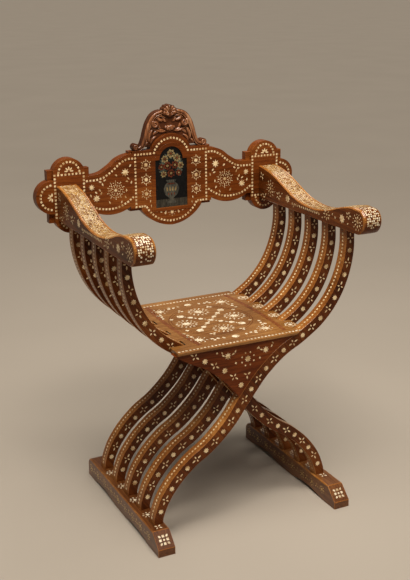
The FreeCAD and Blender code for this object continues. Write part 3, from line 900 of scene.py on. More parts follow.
class Inlay:
    """The chips let into one piece, made as one mesh."""

    proud = 0.22
    sunk = 0.5
    strip_step = 6.0

    def __init__(self, node: str, slot: str, chip_finishes: Sequence[str] = ("bone",)) -> None:
        """Start with no chips.

        Args:
            node: The node that they are let into.
            slot: The record's slot.
            chip_finishes: The finishes that they may have.
        """
        self.node = node
        self.slot = slot
        self.chip_finishes = chip_finishes
        self.points: list[Vector] = []
        self.faces: list[list[int]] = []
        self.kinds: list[str] = []

    def set(
        self,
        surface: Surface,
        along: float,
        across: float,
        motif: Motif,
        turn: float = 0.0,
        kind: str | None = None,
    ) -> None:
        """Set a motif.

        Args:
            surface: What it is let into.
            along: Its place along the surface.
            across: Its place across it.
            motif: Its chips.
            turn: Its turn in degrees.
            kind: Its finish, where that isn't the inlay's first.
        """
        for outline in motif:
            placed = moved(outline, along, across, turn)
            middle_a = sum(a for a, b in placed) / len(placed)
            middle_b = sum(b for a, b in placed) / len(placed)
            spot = surface.spot(middle_a, middle_b)
            offsets = [(a - middle_a, b - middle_b) for a, b in placed]
            self._prism(spot, offsets, kind or self.chip_finishes[0])

    def _prism(self, spot: Spot, offsets: Outline, kind: str) -> None:
        """Add one chip as a closed prism.

        Args:
            spot: Its middle.
            offsets: Its outline round it.
            kind: Its finish.
        """
        first = len(self.points)
        count = len(offsets)
        for height in (-self.sunk, self.proud):
            base = spot.origin + spot.out * height * MM
            for a, b in offsets:
                self.points.append(base + spot.along * a * MM + spot.across * b * MM)
        self.faces.append(list(range(first + count, first + 2 * count)))
        self.faces.append(list(range(first + count - 1, first - 1, -1)))
        for place in range(count):
            after = (place + 1) % count
            foot = [first + place, first + after]
            self.faces.append([*foot, foot[1] + count, foot[0] + count])
        self.kinds += [kind] * (count + 2)

    def strip(
        self, course: Course, start: float, end: float, low: float, high: float, kind: str
    ) -> None:
        """Lay a band along a course.

        Args:
            course: The course.
            start: Where it starts along the course.
            end: Where it ends.
            low: Its one side, across the course.
            high: Its other side.
            kind: Its finish.
        """
        steps = max(int((end - start) / self.strip_step), 2)
        first = len(self.points)
        for step in range(steps + 1):
            run = start + (end - start) * step / steps
            for across in (low, high):
                spot = course.spot(run, across)
                for height in (-self.sunk, self.proud):
                    self.points.append(spot.origin + spot.out * height * MM)
        before = len(self.faces)
        for step in range(steps):
            a = first + 4 * step
            b = a + 4
            self.faces.append([a + 1, b + 1, b + 3, a + 3])
            self.faces.append([a, a + 2, b + 2, b])
            self.faces.append([a, b, b + 1, a + 1])
            self.faces.append([a + 2, a + 3, b + 3, b + 2])
        last = first + 4 * steps
        self.faces.append([first, first + 1, first + 3, first + 2])
        self.faces.append([last, last + 2, last + 3, last + 1])
        self.kinds += [kind] * (len(self.faces) - before)

    def row(
        self, surface: Surface, line: Sequence[tuple[float, float]], pitch: float, chip: Outline
    ) -> None:
        """Set chips at an even pitch along a broken or curved line on a surface.

        Args:
            surface: What they are let into.
            line: The line's points on the surface.
            pitch: Their spacing, near enough.
            chip: The chip.
        """
        points = [Vector((a, 0, b)) for a, b in line]
        path = Course([point * MM for point in points], REAR, Lie.IN_FACE)
        count = max(round(path.length / pitch), 1)
        for place in range(count + 1):
            run = path.length * place / count
            here = path.point(run) / MM
            ahead = path.point(run + 1) - path.point(run - 1)
            turn = math.degrees(math.atan2(ahead.z, ahead.x))
            self.set(surface, here.x, here.z, [chip], turn)

    def finish(self) -> bpy.types.Object:
        """Make the piece.

        Returns:
            The piece.
        """
        name = self.node + "_inlay"
        mesh = closed_mesh(name, self.points, self.faces)
        for chip_finish in self.chip_finishes:
            mesh.materials.append(finishes[chip_finish])
        for face, kind in zip(mesh.polygons, self.kinds):
            face.material_index = self.chip_finishes.index(kind)
        return set_down(name, mesh, NODE_BODY[self.node], self.slot)


def arc_line(
    middle: tuple[float, float], radius: float, start: float, end: float, steps: int = 12
) -> list[tuple[float, float]]:
    """Give points along an arc.

    Args:
        middle: Its middle.
        radius: Its radius.
        start: The angle that it starts at, in degrees.
        end: The angle that it ends at.
        steps: How many short pieces it has.

    Returns:
        The points.
    """
    line = []
    for step in range(steps + 1):
        angle = math.radians(start + (end - start) * step / steps)
        line.append((middle[0] + radius * math.cos(angle), middle[1] + radius * math.sin(angle)))
    return line


def smooth_line(points: Sequence[tuple[float, float]], steps: int = 6) -> list[tuple[float, float]]:
    """Run a smooth line through points.

    Args:
        points: The points.
        steps: How many short pieces there are between two of them.

    Returns:
        The line's points.
    """
    line = []
    for place in range(len(points) - 1):
        p0 = Vector(points[max(place - 1, 0)])
        p1 = Vector(points[place])
        p2 = Vector(points[place + 1])
        p3 = Vector(points[min(place + 2, len(points) - 1)])
        for step in range(steps):
            t = step / steps
            line.append(tuple(
                (2 * p1 + (p2 - p0) * t + (2 * p0 - 5 * p1 + 4 * p2 - p3) * t * t
                 + (3 * p1 - p0 - 3 * p2 + p3) * t ** 3) / 2
            ))
    line.append(tuple(points[-1]))
    return line


@dataclass
class Slats:
    """The ten S-curved slats with their stars, crosses and dotted edges."""

    first_star: float = 53.0
    star_pitch: float = 60.5
    star_radius: float = 6.9
    star_waist: float = 0.66
    edge_pitch: float = 9.0
    edge_chip: float = 4.5
    end_margin: float = 9.0
    bore_clear: float = 10.0
    face_steps: int = 72
    arris: float = 0.9

    def build(self) -> None:
        """Make and dress every slat."""
        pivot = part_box("pivot_rod")
        self.pivot = (pivot[0] + pivot[1]) / 2
        for side in ("right", "left"):
            for place in range(1, 6):
                self._dress_slat(f"{side}_slat_{place}", side)

    def _on_bore(self, point: Vector) -> bool:
        """Say whether a point is on the edge of the pivot's bore."""
        return math.hypot(point.x - self.pivot.x, point.z - self.pivot.z) < self.bore_clear * MM

    def sides(self, node: str) -> tuple[list[Vector], list[Vector]]:
        """Follow a slat's two long edges on its front face, from the arm to the foot.

        Args:
            node: The slat's node.

        Returns:
            The edge that faces the sitter at the top, and the other one.
        """
        loop = face_loop(node, FRONT, self._on_bore)
        top = max(point.z for point in loop)
        low = min(point.z for point in loop)
        tops = [i for i, point in enumerate(loop) if top - point.z < TOUCH]
        feet = [i for i, point in enumerate(loop) if point.z - low < TOUCH]
        ring_of_points = loop[tops[0]:] + loop[:tops[0]]
        count = len(loop)
        turned_tops = sorted((i - tops[0]) % count for i in tops)
        turned_feet = sorted((i - tops[0]) % count for i in feet)
        if turned_tops[1] == 1:
            one = ring_of_points[1:turned_feet[0] + 1]
            other = [ring_of_points[0]] + ring_of_points[turned_feet[1]:][::-1]
        else:
            one = ring_of_points[:turned_feet[0] + 1]
            other = ring_of_points[turned_feet[1]:][::-1]
        return (one, other) if abs(one[0].x) < abs(other[0].x) else (other, one)

    def _dress_slat(self, node: str, side: str) -> None:
        """Make one slat and its inlay.

        Args:
            node: The slat's node.
            side: The side of the arm that it carries.
        """
        # The slats' edge faces take the lighter walnut that paints their highlight.
        worn_piece(node, "frame_walnut", "frame", self.arris, side="slat_side_painted_highlight")
        inner, outer = self.sides(node)
        one = Course(inner, FRONT, Lie.IN_FACE)
        other = Course(outer, FRONT, Lie.IN_FACE)
        steps = self.face_steps
        middle = [
            one.point(one.length * i / steps).lerp(other.point(other.length * i / steps), 0.5)
            for i in range(steps + 1)
        ]
        inlay = Inlay(node, "frame_walnut")
        face = Course(middle, FRONT, Lie.IN_FACE)
        run = self.first_star
        cross = run - self.star_pitch / 2
        while run < face.length - self.end_margin:
            inlay.set(face, run, 0, [star(8, self.star_radius, self.star_waist)], 22.5)
            run += self.star_pitch
        while cross < face.length - self.end_margin:
            inlay.set(face, cross, 0, slat_cross())
            cross += self.star_pitch
        low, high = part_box(node)
        depth = (high.y - low.y) / MM
        way = REAR if side == "right" else FRONT
        for line, across in ((inner, way), (outer, -way)):
            edge = Course(line, across, Lie.ON_EDGE)
            middle_across = depth / 2 * (1 if across.y > 0 else -1)
            count = int((edge.length - 2 * self.end_margin) / self.edge_pitch)
            for chip in range(count):
                place = self.end_margin + self.edge_pitch * (chip + 0.5)
                inlay.set(edge, place, middle_across, [square(self.edge_chip)])
        inlay.finish()


@dataclass(frozen=True)
class Roll:
    """How the scroll of an arm is rounded off towards its two ends."""

    low: Vector
    high: Vector
    radius: float = 31.0
    fall: float = 0.17
    blend: float = 40.0
    cuts: tuple[float, ...] = (0.30, 0.52, 0.66, 0.7725, 0.86, 0.93)

    def rounded(self, point: Vector) -> Vector:
        """Give a point's place once the roll is rounded off.

        Args:
            point: The point on the square-ended arm.

        Returns:
            Its place, nearer the roll's axis towards either end.
        """
        axis_y = self.low.y + self.radius * MM
        axis_z = self.low.z + self.radius * MM
        share = abs(2 * point.x - self.low.x - self.high.x) / (self.high.x - self.low.x)
        behind = (point.y - axis_y) / (self.blend * MM)
        near = min(max(1 - behind, 0.0), 1.0)
        if point.z < axis_z:
            near *= min(max((axis_y - point.y) / (self.radius * MM), 0.0), 1.0)
        pull = 1 - self.fall * near * near * (3 - 2 * near) * share ** 4
        behind_axis = (point.y - axis_y) * pull
        above_axis = (point.z - axis_z) * pull
        return Vector((point.x, axis_y + behind_axis, axis_z + above_axis))

    def shape(self, work: bmesh.types.BMesh) -> None:
        """Round off the scroll of an arm's copy.

        Args:
            work: The copy, which is cut lengthwise and then moved into shape.
        """
        middle = (self.low.x + self.high.x) / 2
        half = (self.high.x - self.low.x) / 2
        behind = self.low.y + (self.radius + self.blend) * MM
        for cut in self.cuts:
            for way in (-1, 1):
                faces = [face for face in work.faces if min(v.co.y for v in face.verts) < behind]
                edges = {edge for face in faces for edge in face.edges}
                verts = {vertex for face in faces for vertex in face.verts}
                bmesh.ops.bisect_plane(
                    work,
                    geom=[*verts, *edges, *faces],
                    plane_co=(middle + way * half * cut, 0, 0),
                    plane_no=(1, 0, 0),
                )
        for vertex in work.verts:
            vertex.co = self.rounded(vertex.co)

    def ground_bounds(self, reach: float) -> list[float]:
        """Give the lines that split the dark ground across.

        Args:
            reach: How far the ground reaches to each side of the middle, in millimetres.

        Returns:
            The lines from one side to the other.
        """
        half = (self.high.x - self.low.x) / 2 / MM
        inside = [half * cut for cut in self.cuts if half * cut < reach - 1.0]
        return [-reach, *(-line for line in reversed(inside)), *inside, reach]


@dataclass
class Arms:
    """The two armrests, with their mosaic tops and inlaid sides."""

    lip_width: float = 3.8
    mosaic_half: float = 18.6
    mosaic_pitch: float = 3.6
    mosaic_start: float = 6.0
    mosaic_lean: float = 32.0
    mosaic_gaps: float = 0.05
    pale_share: float = 0.55
    tile_pitch: float = 5.2
    tile_stray: float = 0.5
    tile_lean: float = 45.0
    scroll_run: float = 74.0
    scroll_lips: float = 46.0
    bare_from: float = 0.58
    bare_rise: float = 2.6
    under: float = 14.0
    ground_proud: float = 0.08
    rim_slopes: tuple[float, float] = (0.42, 0.92)
    bevel: float = 2.0
    arris: float = 1.0
    garland_start: float = 176.0
    garland_pitch: float = 9.0
    garland_up: float = 17.0
    garland_chips: int = 15
    scroll_eye: float = 29.0
    side_stars: tuple[tuple[float, float], ...] = ((152, 26), (403, 25))
    rear_petals: tuple[tuple[float, float, float], ...] = (
        (14, 10, 20), (24, 14, 160), (30, 8, 10), (38, 16, 60),
    )
    side_petals: tuple[tuple[float, float, float], ...] = (
        (124, 34, 35), (182, 11, 30), (318, 11, 30), (362, 28, 60), (374, 22, 120), (428, 18, 30),
    )

    def build(self) -> None:
        """Make and dress both arms."""
        chance = random.Random(7)
        for node in ("right_arm", "left_arm"):
            roll = Roll(*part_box(node))
            arm = worn_piece(node, "arm_walnut", "arm", self.arris, reshape=roll.shape)
            self._rub_rims(arm)
            inlay = Inlay(
                node, "arm_walnut", ("bone", "stained_bone", "lip", "frame", "polished_bone")
            )
            self._top(node, inlay, roll, chance)
            self._sides(node, inlay)
            inlay.points = [roll.rounded(point) for point in inlay.points]
            inlay.finish()

    def _rub_rims(self, arm: bpy.types.Object) -> None:
        """Give the sloped rims beside the sides the finish of the worn edges.

        Args:
            arm: The arm's copy.
        """
        low, high = self.rim_slopes
        for face in arm.data.polygons:
            if low < abs(face.normal.x) < high:
                face.material_index = 1

    def top_line(self, node: str) -> list[Vector]:
        """Follow an arm's top from the rear to the underside of the scroll.

        Args:
            node: The arm's node.

        Returns:
            The top's points in order.
        """
        loop = face_loop(node, LEFT, lambda point: False)
        low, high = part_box(node)
        rear = [i for i, point in enumerate(loop) if high.y - point.y < 0.05 * MM]
        start = max(rear, key=lambda i: loop[i].z)
        ring_of_points = loop[start:] + loop[:start]
        if ring_of_points[1].z < ring_of_points[-1].z or ring_of_points[1].y > high.y - MM:
            ring_of_points = [ring_of_points[0]] + ring_of_points[1:][::-1]
        line = []
        for point in ring_of_points:
            line.append(point)
            if point.z - low.z < (self.bevel + 1.0) * MM:
                break
        return line

    def _top(self, node: str, inlay: Inlay, roll: Roll, chance: random.Random) -> None:
        """Lay the lips and the mosaic of an arm's top.

        Args:
            node: The arm's node.
            inlay: Where they go.
            roll: The scroll's shape.
            chance: Picks what differs from chip to chip.
        """
        low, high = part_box(node)
        width = (high.x - low.x) / MM
        course = Course(self.top_line(node), RIGHT, Lie.ON_EDGE, self.bevel)
        middle = width / 2
        half = width / 2 - self.bevel
        scroll_end = course.length - self.under
        scroll_start = scroll_end - self.scroll_run
        lip_end = scroll_start + self.scroll_lips
        # The lips are strips of golden walnut, a painted highlight along the top's two edges.
        for side in (-1, 1):
            outer = middle + side * half
            inner = middle + side * (half - self.lip_width)
            inlay.strip(course, 2.0, lip_end, min(outer, inner), max(outer, inner), "lip")
        inlay.proud = self.ground_proud
        reach = half - self.lip_width
        bounds = roll.ground_bounds(reach)
        for one, other in zip(bounds, bounds[1:]):
            inlay.strip(course, scroll_start, scroll_end, middle + one, middle + other, "frame")
        inlay.proud = Inlay.proud
        self._mosaic(course, inlay, chance, middle, scroll_start)
        self._scroll(course, inlay, chance, middle, scroll_start)

    def _mosaic(
        self, course: Course, inlay: Inlay, chance: random.Random, middle: float, end: float
    ) -> None:
        """Lay the fine herringbone of the arm's top.

        Args:
            course: The arm's top.
            inlay: Where the chips go.
            chance: Picks each chip's piece of bone.
            middle: The middle of the top, across.
            end: Where it gives way to the scroll's tiles.
        """
        rows = int(2 * self.mosaic_half / self.mosaic_pitch) + 1
        for column in range(int((end - self.mosaic_start) / self.mosaic_pitch)):
            run = self.mosaic_start + self.mosaic_pitch * column
            for line in range(rows):
                across = middle - self.mosaic_half + self.mosaic_pitch * (line + 0.5 * (column % 2))
                if across > middle + self.mosaic_half or chance.random() < self.mosaic_gaps:
                    continue
                kind = "bone" if chance.random() < self.pale_share else "stained_bone"
                lean = self.mosaic_lean if line % 2 else -self.mosaic_lean
                inlay.set(course, run, across, [lozenge(4.4, 2.6)], lean, kind)

    def _scroll(
        self, course: Course, inlay: Inlay, chance: random.Random, middle: float, start: float
    ) -> None:
        """Lay the scroll's tiles, a little unevenly, with dark wood between them; most are paler
        bone for a painted sheen.

        Args:
            course: The arm's top.
            inlay: Where the tiles go.
            chance: Picks each tile's shape and lie.
            middle: The middle of the top, across.
            start: Where the tiles start.
        """
        reach = int(self.mosaic_half / self.tile_pitch)
        columns = int(self.scroll_run / self.tile_pitch)
        for column in range(columns):
            bare = self.bare_rise * (column / columns - self.bare_from)
            for line in range(-reach, reach + 1):
                place = (column + 2 * line) % 5
                stray = self.tile_stray
                run = start + self.tile_pitch * (column + 0.5) + chance.uniform(-stray, stray)
                across = middle + self.tile_pitch * line + chance.uniform(-stray, stray)
                chip = lozenge(5.4, 4.0) if chance.random() < 0.5 else star(6, 2.5, 0.8)
                turn = chance.uniform(-self.tile_lean, self.tile_lean)
                # Most tiles take the paler bone that paints the scroll's sheen.
                if place and chance.random() > bare:
                    kind = "bone" if place == 2 else "polished_bone"
                    inlay.set(course, run, across, [chip], turn, kind)

    def _sides(self, node: str, inlay: Inlay) -> None:
        """Set the rosettes, flowers and garland of an arm's two sides.

        Args:
            node: The arm's node.
            inlay: Where the chips go.
        """
        low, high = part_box(node)
        outward = ((low.x, FRONT), (high.x, REAR))
        for x, along in outward:
            side = Flat(Vector((x, high.y, low.z)), along, UP)
            forward = 1 if along.y < 0 else -1
            self._side(side, inlay, forward, (high.y - low.y) / MM)

    def _side(self, side: Flat, inlay: Inlay, forward: int, length: float) -> None:
        """Set one side's motifs.

        Args:
            side: The side, with its origin at the rear bottom corner.
            inlay: Where the chips go.
            forward: 1 where the side's own way runs to the front, otherwise -1.
            length: The arm's length.
        """
        def at(from_rear: float, up: float, motif: Motif, turn: float = 0.0) -> None:
            """Set a motif by its distance from the rear and its height."""
            inlay.set(side, forward * from_rear, up, motif, turn)

        at(17, 63, ring(petal(8.0, 3.8), 4, 7.0, 0, 30))
        at(64, 37, [star(8, 5.4)] + ring(petal(7.5, 3.6), 8, 11.5))
        at(64, 37, ring(lozenge(5.6, 2.8), 10, 20.0, 0, 18))
        at(106, 25, ring(petal(8.0, 3.6), 5, 8.0))
        at(337, 22, [star(6, 4.0)] + ring(petal(7.6, 3.4), 8, 11.0))
        at(429, 38, ring(petal(7.0, 3.4), 5, 6.6))
        for from_rear, up in self.side_stars:
            at(from_rear, up, [star(8, 11.0, 0.66)])
        for from_rear, up, turn in self.rear_petals:
            at(from_rear, up, [petal(8.0, 3.6)], turn)
        for from_rear, up, turn in self.side_petals:
            at(from_rear, up, [petal(7.0, 3.2)], turn)
        for place in range(self.garland_chips):
            from_rear = self.garland_start + self.garland_pitch * place
            at(from_rear, self.garland_up, [petal(7.6, 3.8)], 66 if place % 2 else 114)
        reach = length - self.scroll_eye
        rim = ring(lozenge(5.2, 2.8), 12, 20.0, 0, 15)
        at(reach, 31, [star(8, 6.0)] + ring(petal(7.4, 3.8), 8, 12.0) + rim)


@dataclass
class Rails:
    """The two foot rails."""

    arris: float = 1.2
    toe_pitch: float = 9.2
    toe_chip: float = 6.0
    side_motifs: int = 17
    side_start: float = 24.0
    side_ends: float = 84.0
    side_up: float = 28.0
    front_cross: float = 9.0

    def build(self) -> None:
        """Make and dress both rails."""
        for node in ("right_foot_rail", "left_foot_rail"):
            worn_piece(node, "frame_walnut", "rail", self.arris)
            # Chips on the toe and the top are in the paler bone that paints their sheen; the sides
            # use stained bone.
            inlay = Inlay(node, "frame_walnut", ("polished_bone", "stained_bone"))
            self._toe(node, inlay)
            self._tops(node, inlay)
            self._sides(node, inlay)
            inlay.finish()

    def _toe(self, node: str, inlay: Inlay) -> None:
        """Set the chips of the sloped front.

        Args:
            node: The rail's node.
            inlay: Where the chips go.
        """
        loop = face_loop(node, LEFT, lambda point: False)
        low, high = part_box(node)
        front = max((p for p in loop if p.y - low.y < 0.05 * MM), key=lambda p: p.z)
        crest = min((p for p in loop if high.z - p.z < 2.5 * MM), key=lambda p: p.y)
        origin = (front + crest) / 2
        origin.x = (low.x + high.x) / 2
        face = Flat(origin, RIGHT, (crest - front).normalized())
        for column in (-1, 0, 1):
            for line in (-1, 0, 1):
                if column == 0 and line == 0:
                    continue
                chip = petal(8.4, 4.8) if column and line else square(self.toe_chip)
                turn = math.degrees(math.atan2(line, column)) if column and line else 0
                inlay.set(face, column * self.toe_pitch, line * self.toe_pitch, [chip], turn)
        inlay.set(face, 0, 0, [lozenge(self.toe_chip, self.toe_chip)])

    def _tops(self, node: str, inlay: Inlay) -> None:
        """Set a rosette between each two slats and a cross before the first.

        Args:
            node: The rail's node.
            inlay: Where the chips go.
        """
        low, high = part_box(node)
        carried = "left" if node.startswith("right") else "right"
        top = Flat(Vector(((low.x + high.x) / 2, 0, high.z)), RIGHT, REAR)
        for place in range(1, 5):
            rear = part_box(f"{carried}_slat_{place}")[1].y
            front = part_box(f"{carried}_slat_{place + 1}")[0].y
            inlay.set(top, 0, (rear + front) / 2 / MM, petal_rosette(14.0))
        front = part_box(f"{carried}_slat_1")[0].y / MM
        inlay.set(top, 0, front - self.front_cross, ring(petal(8.0, 3.6), 4, 6.5, 0, 45))

    def _sides(self, node: str, inlay: Inlay) -> None:
        """Set the rosettes of both sides, in bone that is stained darker.

        Args:
            node: The rail's node.
            inlay: Where the chips go.
        """
        low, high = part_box(node)
        length = (high.y - low.y) / MM
        for x, along in ((low.x, FRONT), (high.x, REAR)):
            forward = 1 if along.y < 0 else -1
            side = Flat(Vector((x, high.y, low.z)), along, UP)
            for place in range(self.side_motifs):
                share = (length - self.side_ends) * place / (self.side_motifs - 1)
                run = self.side_start + share
                motif = ring(petal(7.0, 3.0), 3, 5.5, 0, 90) if place % 2 else petal_rosette(11.5)
                inlay.set(side, forward * run, self.side_up, motif, 0, "stained_bone")


@dataclass
class Seat:
    """The seat board with its field of rosettes."""

    front_row_inset: float = 8.0
    rear_row_inset: float = 23.0
    row_pitch: float = 9.5
    row_chip: float = 5.0
    shift_along: float = -1.0
    shift_across: float = -7.5
    field_half: float = 66.0
    corner_along: float = 88.0
    corner_across: float = 115.0
    band_inset: float = 32.0
    band_bow: float = 9.0
    band_width: float = 11.0
    string_radii: tuple[float, ...] = (98.0, 104.0)
    string_half: float = 0.7
    string_steps: int = 72
    band_steps: int = 12
    string_proud: float = 0.10
    trefoil_place: tuple[float, float] = (40.0, 93.0)
    diamond_place: tuple[float, float] = (86.0, 45.0)
    end_oval: float = 132.0
    finger_inset: float = 16.5
    finger_forward: float = 7.0
    chain: tuple[tuple[float, float, float], ...] = (
        (14.5, 6, 5), (26, 14, 12), (40, 8, 5), (54, 16, 13), (66.5, 5, 4), (80, 21, 18),
    )
    sprays: tuple[tuple[float, float, float], ...] = (
        (30, 8, 20), (33, 17, -30), (44, 11, 35), (58, 14, 70),
    )
    arris: float = 0.8

    def build(self) -> None:
        """Make and dress the seat."""
        worn_piece("seat_board", "seat_walnut", "seat", self.arris)
        # The seat's chips are in the paler bone that paints the sheen on the board.
        inlay = Inlay("seat_board", "seat_walnut", ("polished_bone", "banding", "frame"))
        low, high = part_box("seat_board")
        middle = (low + high) / 2
        along = middle.x + self.shift_along * MM
        across = middle.y + self.shift_across * MM
        top = Flat(Vector((along, across, high.z)), RIGHT, REAR)
        self._rows(inlay, low, high)
        self._bands(inlay, low, high)
        self._field(top, inlay)
        self._corners(top, inlay)
        self._fingers(inlay, high)
        inlay.finish()

    def _rows(self, inlay: Inlay, low: Vector, high: Vector) -> None:
        """Set the dotted rows along the front and the rear edge.

        Args:
            inlay: Where the chips go.
            low: The board's low corner.
            high: Its high corner.
        """
        top = Flat(Vector((0, 0, high.z)), RIGHT, REAR)
        seat_side = -low.x / MM
        ends = (-seat_side + 6.0, seat_side - 36.0)
        for across in (low.y / MM + self.front_row_inset, high.y / MM - self.rear_row_inset):
            line = ((ends[0], across), (ends[1], across))
            inlay.row(top, line, self.row_pitch, square(self.row_chip))

    def _field(self, top: Flat, inlay: Inlay) -> None:
        """Set the four rosettes, their circles and the ovals that lead from the middle.

        Args:
            top: The board's top, from the middle of the pattern.
            inlay: Where the chips go.
        """
        inlay.set(top, 0, 0, [star(8, 9.5, 0.5)])
        for turn in (0, 90, 180, 270):
            along = self.field_half * math.cos(math.radians(turn))
            across = (self.field_half + 3.0) * math.sin(math.radians(turn))
            inlay.set(top, along, across, [star(8, 15.0, 0.45)])
            inlay.set(top, along, across, ring(lozenge(5.4, 3.0), 8, 16.0, 0, 22.5))
            inlay.set(top, along, across, ring(lozenge(8.4, 5.0), 14, 24.0), 11)
        inlay.proud = self.string_proud
        for radius in self.string_radii:
            circle = []
            for step in range(self.string_steps + 1):
                angle = TURN * step / self.string_steps
                circle.append(top.spot(radius * math.cos(angle), radius * math.sin(angle)).origin)
            course = Course(circle, UP, Lie.IN_FACE)
            inlay.strip(course, 0, course.length, -self.string_half, self.string_half, "frame")
        inlay.proud = Inlay.proud
        for along_way in (-1, 1):
            for across_way in (-1, 1):
                lean = 45 * along_way * across_way
                for reach, length, width in self.chain:
                    along = along_way * reach * math.sqrt(0.5)
                    across = across_way * reach * math.sqrt(0.5)
                    inlay.set(top, along, across, [petal(length, width)], lean)
                trefoil = ring(petal(8.5, 5.4), 3, 5.0, 0, 90 * across_way)
                along, across = self.trefoil_place
                inlay.set(top, along_way * along, across_way * across, trefoil)
                along, across = self.diamond_place
                inlay.set(top, along_way * along, across_way * across, [lozenge(11.0, 11.0)])
        for across in (-self.end_oval, self.end_oval):
            inlay.set(top, 0, across, [petal(21.0, 18.0)])

    def _corners(self, top: Flat, inlay: Inlay) -> None:
        """Set the star and the sprays of each corner.

        Args:
            top: The board's top, from the middle of the pattern.
            inlay: Where the chips go.
        """
        for along_way in (-1, 1):
            for across_way in (-1, 1):
                along = along_way * self.corner_along
                across = across_way * self.corner_across
                both = along_way * across_way
                inlay.set(top, along, across, [star(8, 15.0, 0.42)])
                inlay.set(top, along, across, ring(lozenge(5.4, 3.6), 8, 18.5, 0, 22.5))
                for inward, outward, lean in self.sprays:
                    inlay.set(
                        top, along - along_way * inward, across + across_way * outward,
                        [petal(10.0, 6.4)], -both * lean,
                    )
                    inlay.set(
                        top, along + along_way * outward, across - across_way * (inward - 4.0),
                        [petal(10.0, 6.4)], 90 + both * lean,
                    )

    def _bands(self, inlay: Inlay, low: Vector, high: Vector) -> None:
        """Let a dark band into each side of the board.

        Args:
            inlay: Where the bands go.
            low: The board's low corner.
            high: Its high corner.
        """
        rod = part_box("seat_hinge_rod")
        reach = -(rod[0].x + rod[1].x) / 2 / MM - self.band_inset
        for way in (-1, 1):
            line = []
            for step in range(self.band_steps + 1):
                bow = self.band_bow * (2 * step / self.band_steps - 1) ** 2
                y = low.y + (high.y - low.y) * (step + 1) / (self.band_steps + 2)
                line.append(Vector((way * (reach - bow) * MM, y, high.z)))
            course = Course(line, UP, Lie.IN_FACE)
            half = self.band_width / 2
            inlay.strip(course, 0, course.length, -half, half, "banding")

    def _fingers(self, inlay: Inlay, high: Vector) -> None:
        """Set a sprig on each finger between two slats.

        Args:
            inlay: Where the chips go.
            high: The board's high corner.
        """
        top = Flat(Vector((0, 0, high.z)), RIGHT, REAR)
        for place in range(1, 5):
            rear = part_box(f"right_slat_{place}")[1].y
            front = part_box(f"right_slat_{place + 1}")[0].y
            across = (rear + front) / 2 / MM
            sprig = petal_rosette(16.0) + ring(lozenge(5.0, 2.8), 8, 11.5, 0, 22.5)
            along = high.x / MM - self.finger_inset
            inlay.set(top, along, across - self.finger_forward, sprig)


@dataclass
class Apron:
    """The V-shaped panel under the seat's front edge.

    Places are given across from the chair's middle and up from the floor.
    """

    arris: float = 0.8
    band_lean: float = -34.0
    band: tuple[tuple[float, float], ...] = (
        (-136, 456), (-110, 440), (-85, 425), (-59, 408), (-35, 388), (-16, 364),
    )
    left_petals: tuple[tuple[float, float, float], ...] = (
        (-66, 453, 110), (-63, 446, 150), (-37, 446, 30), (-31, 452, 70),
    )
    right_petals: tuple[tuple[float, float, float], ...] = (
        (38, 444, 160), (31, 450, 110), (66, 449, 60), (69, 456, 130),
    )
    squares: tuple[tuple[float, float], ...] = ((34, 424), (-30, 422), (-79, 455), (28, 449))

    def build(self) -> None:
        """Make and dress the apron."""
        node = "front_apron"
        worn_piece(node, "apron_walnut", "apron", self.arris, "apron")
        inlay = Inlay(node, "apron_walnut")
        low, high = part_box(node)
        face = Flat(Vector((0, low.y, 0)), RIGHT, UP)
        for place, (along, up) in enumerate(self.band):
            if place % 2:
                inlay.set(face, along, up, [star(8, 7.4, 0.66)], 22.5)
            else:
                inlay.set(face, along, up, slat_cross(), self.band_lean)
        inlay.set(face, -51, 443, [star(8, 9.0, 0.5)])
        for along, up, turn in self.left_petals:
            inlay.set(face, along, up, [petal(8.0, 3.4)], turn)
        inlay.set(face, 2, 427, [star(8, 8.6, 0.6)] + ring(square(3.4), 8, 17.0, 45, 22.5))
        inlay.set(face, 50, 442, [star(8, 9.0, 0.5)])
        for along, up, turn in self.right_petals:
            inlay.set(face, along, up, [petal(7.6, 3.4)], turn)
        for along, up in self.squares:
            inlay.set(face, along, up, [square(4.0)], 45)
        inlay.set(face, 0, 387, ring(petal(8.6, 4.0), 3, 6.2, 0, 30))
        inlay.finish()


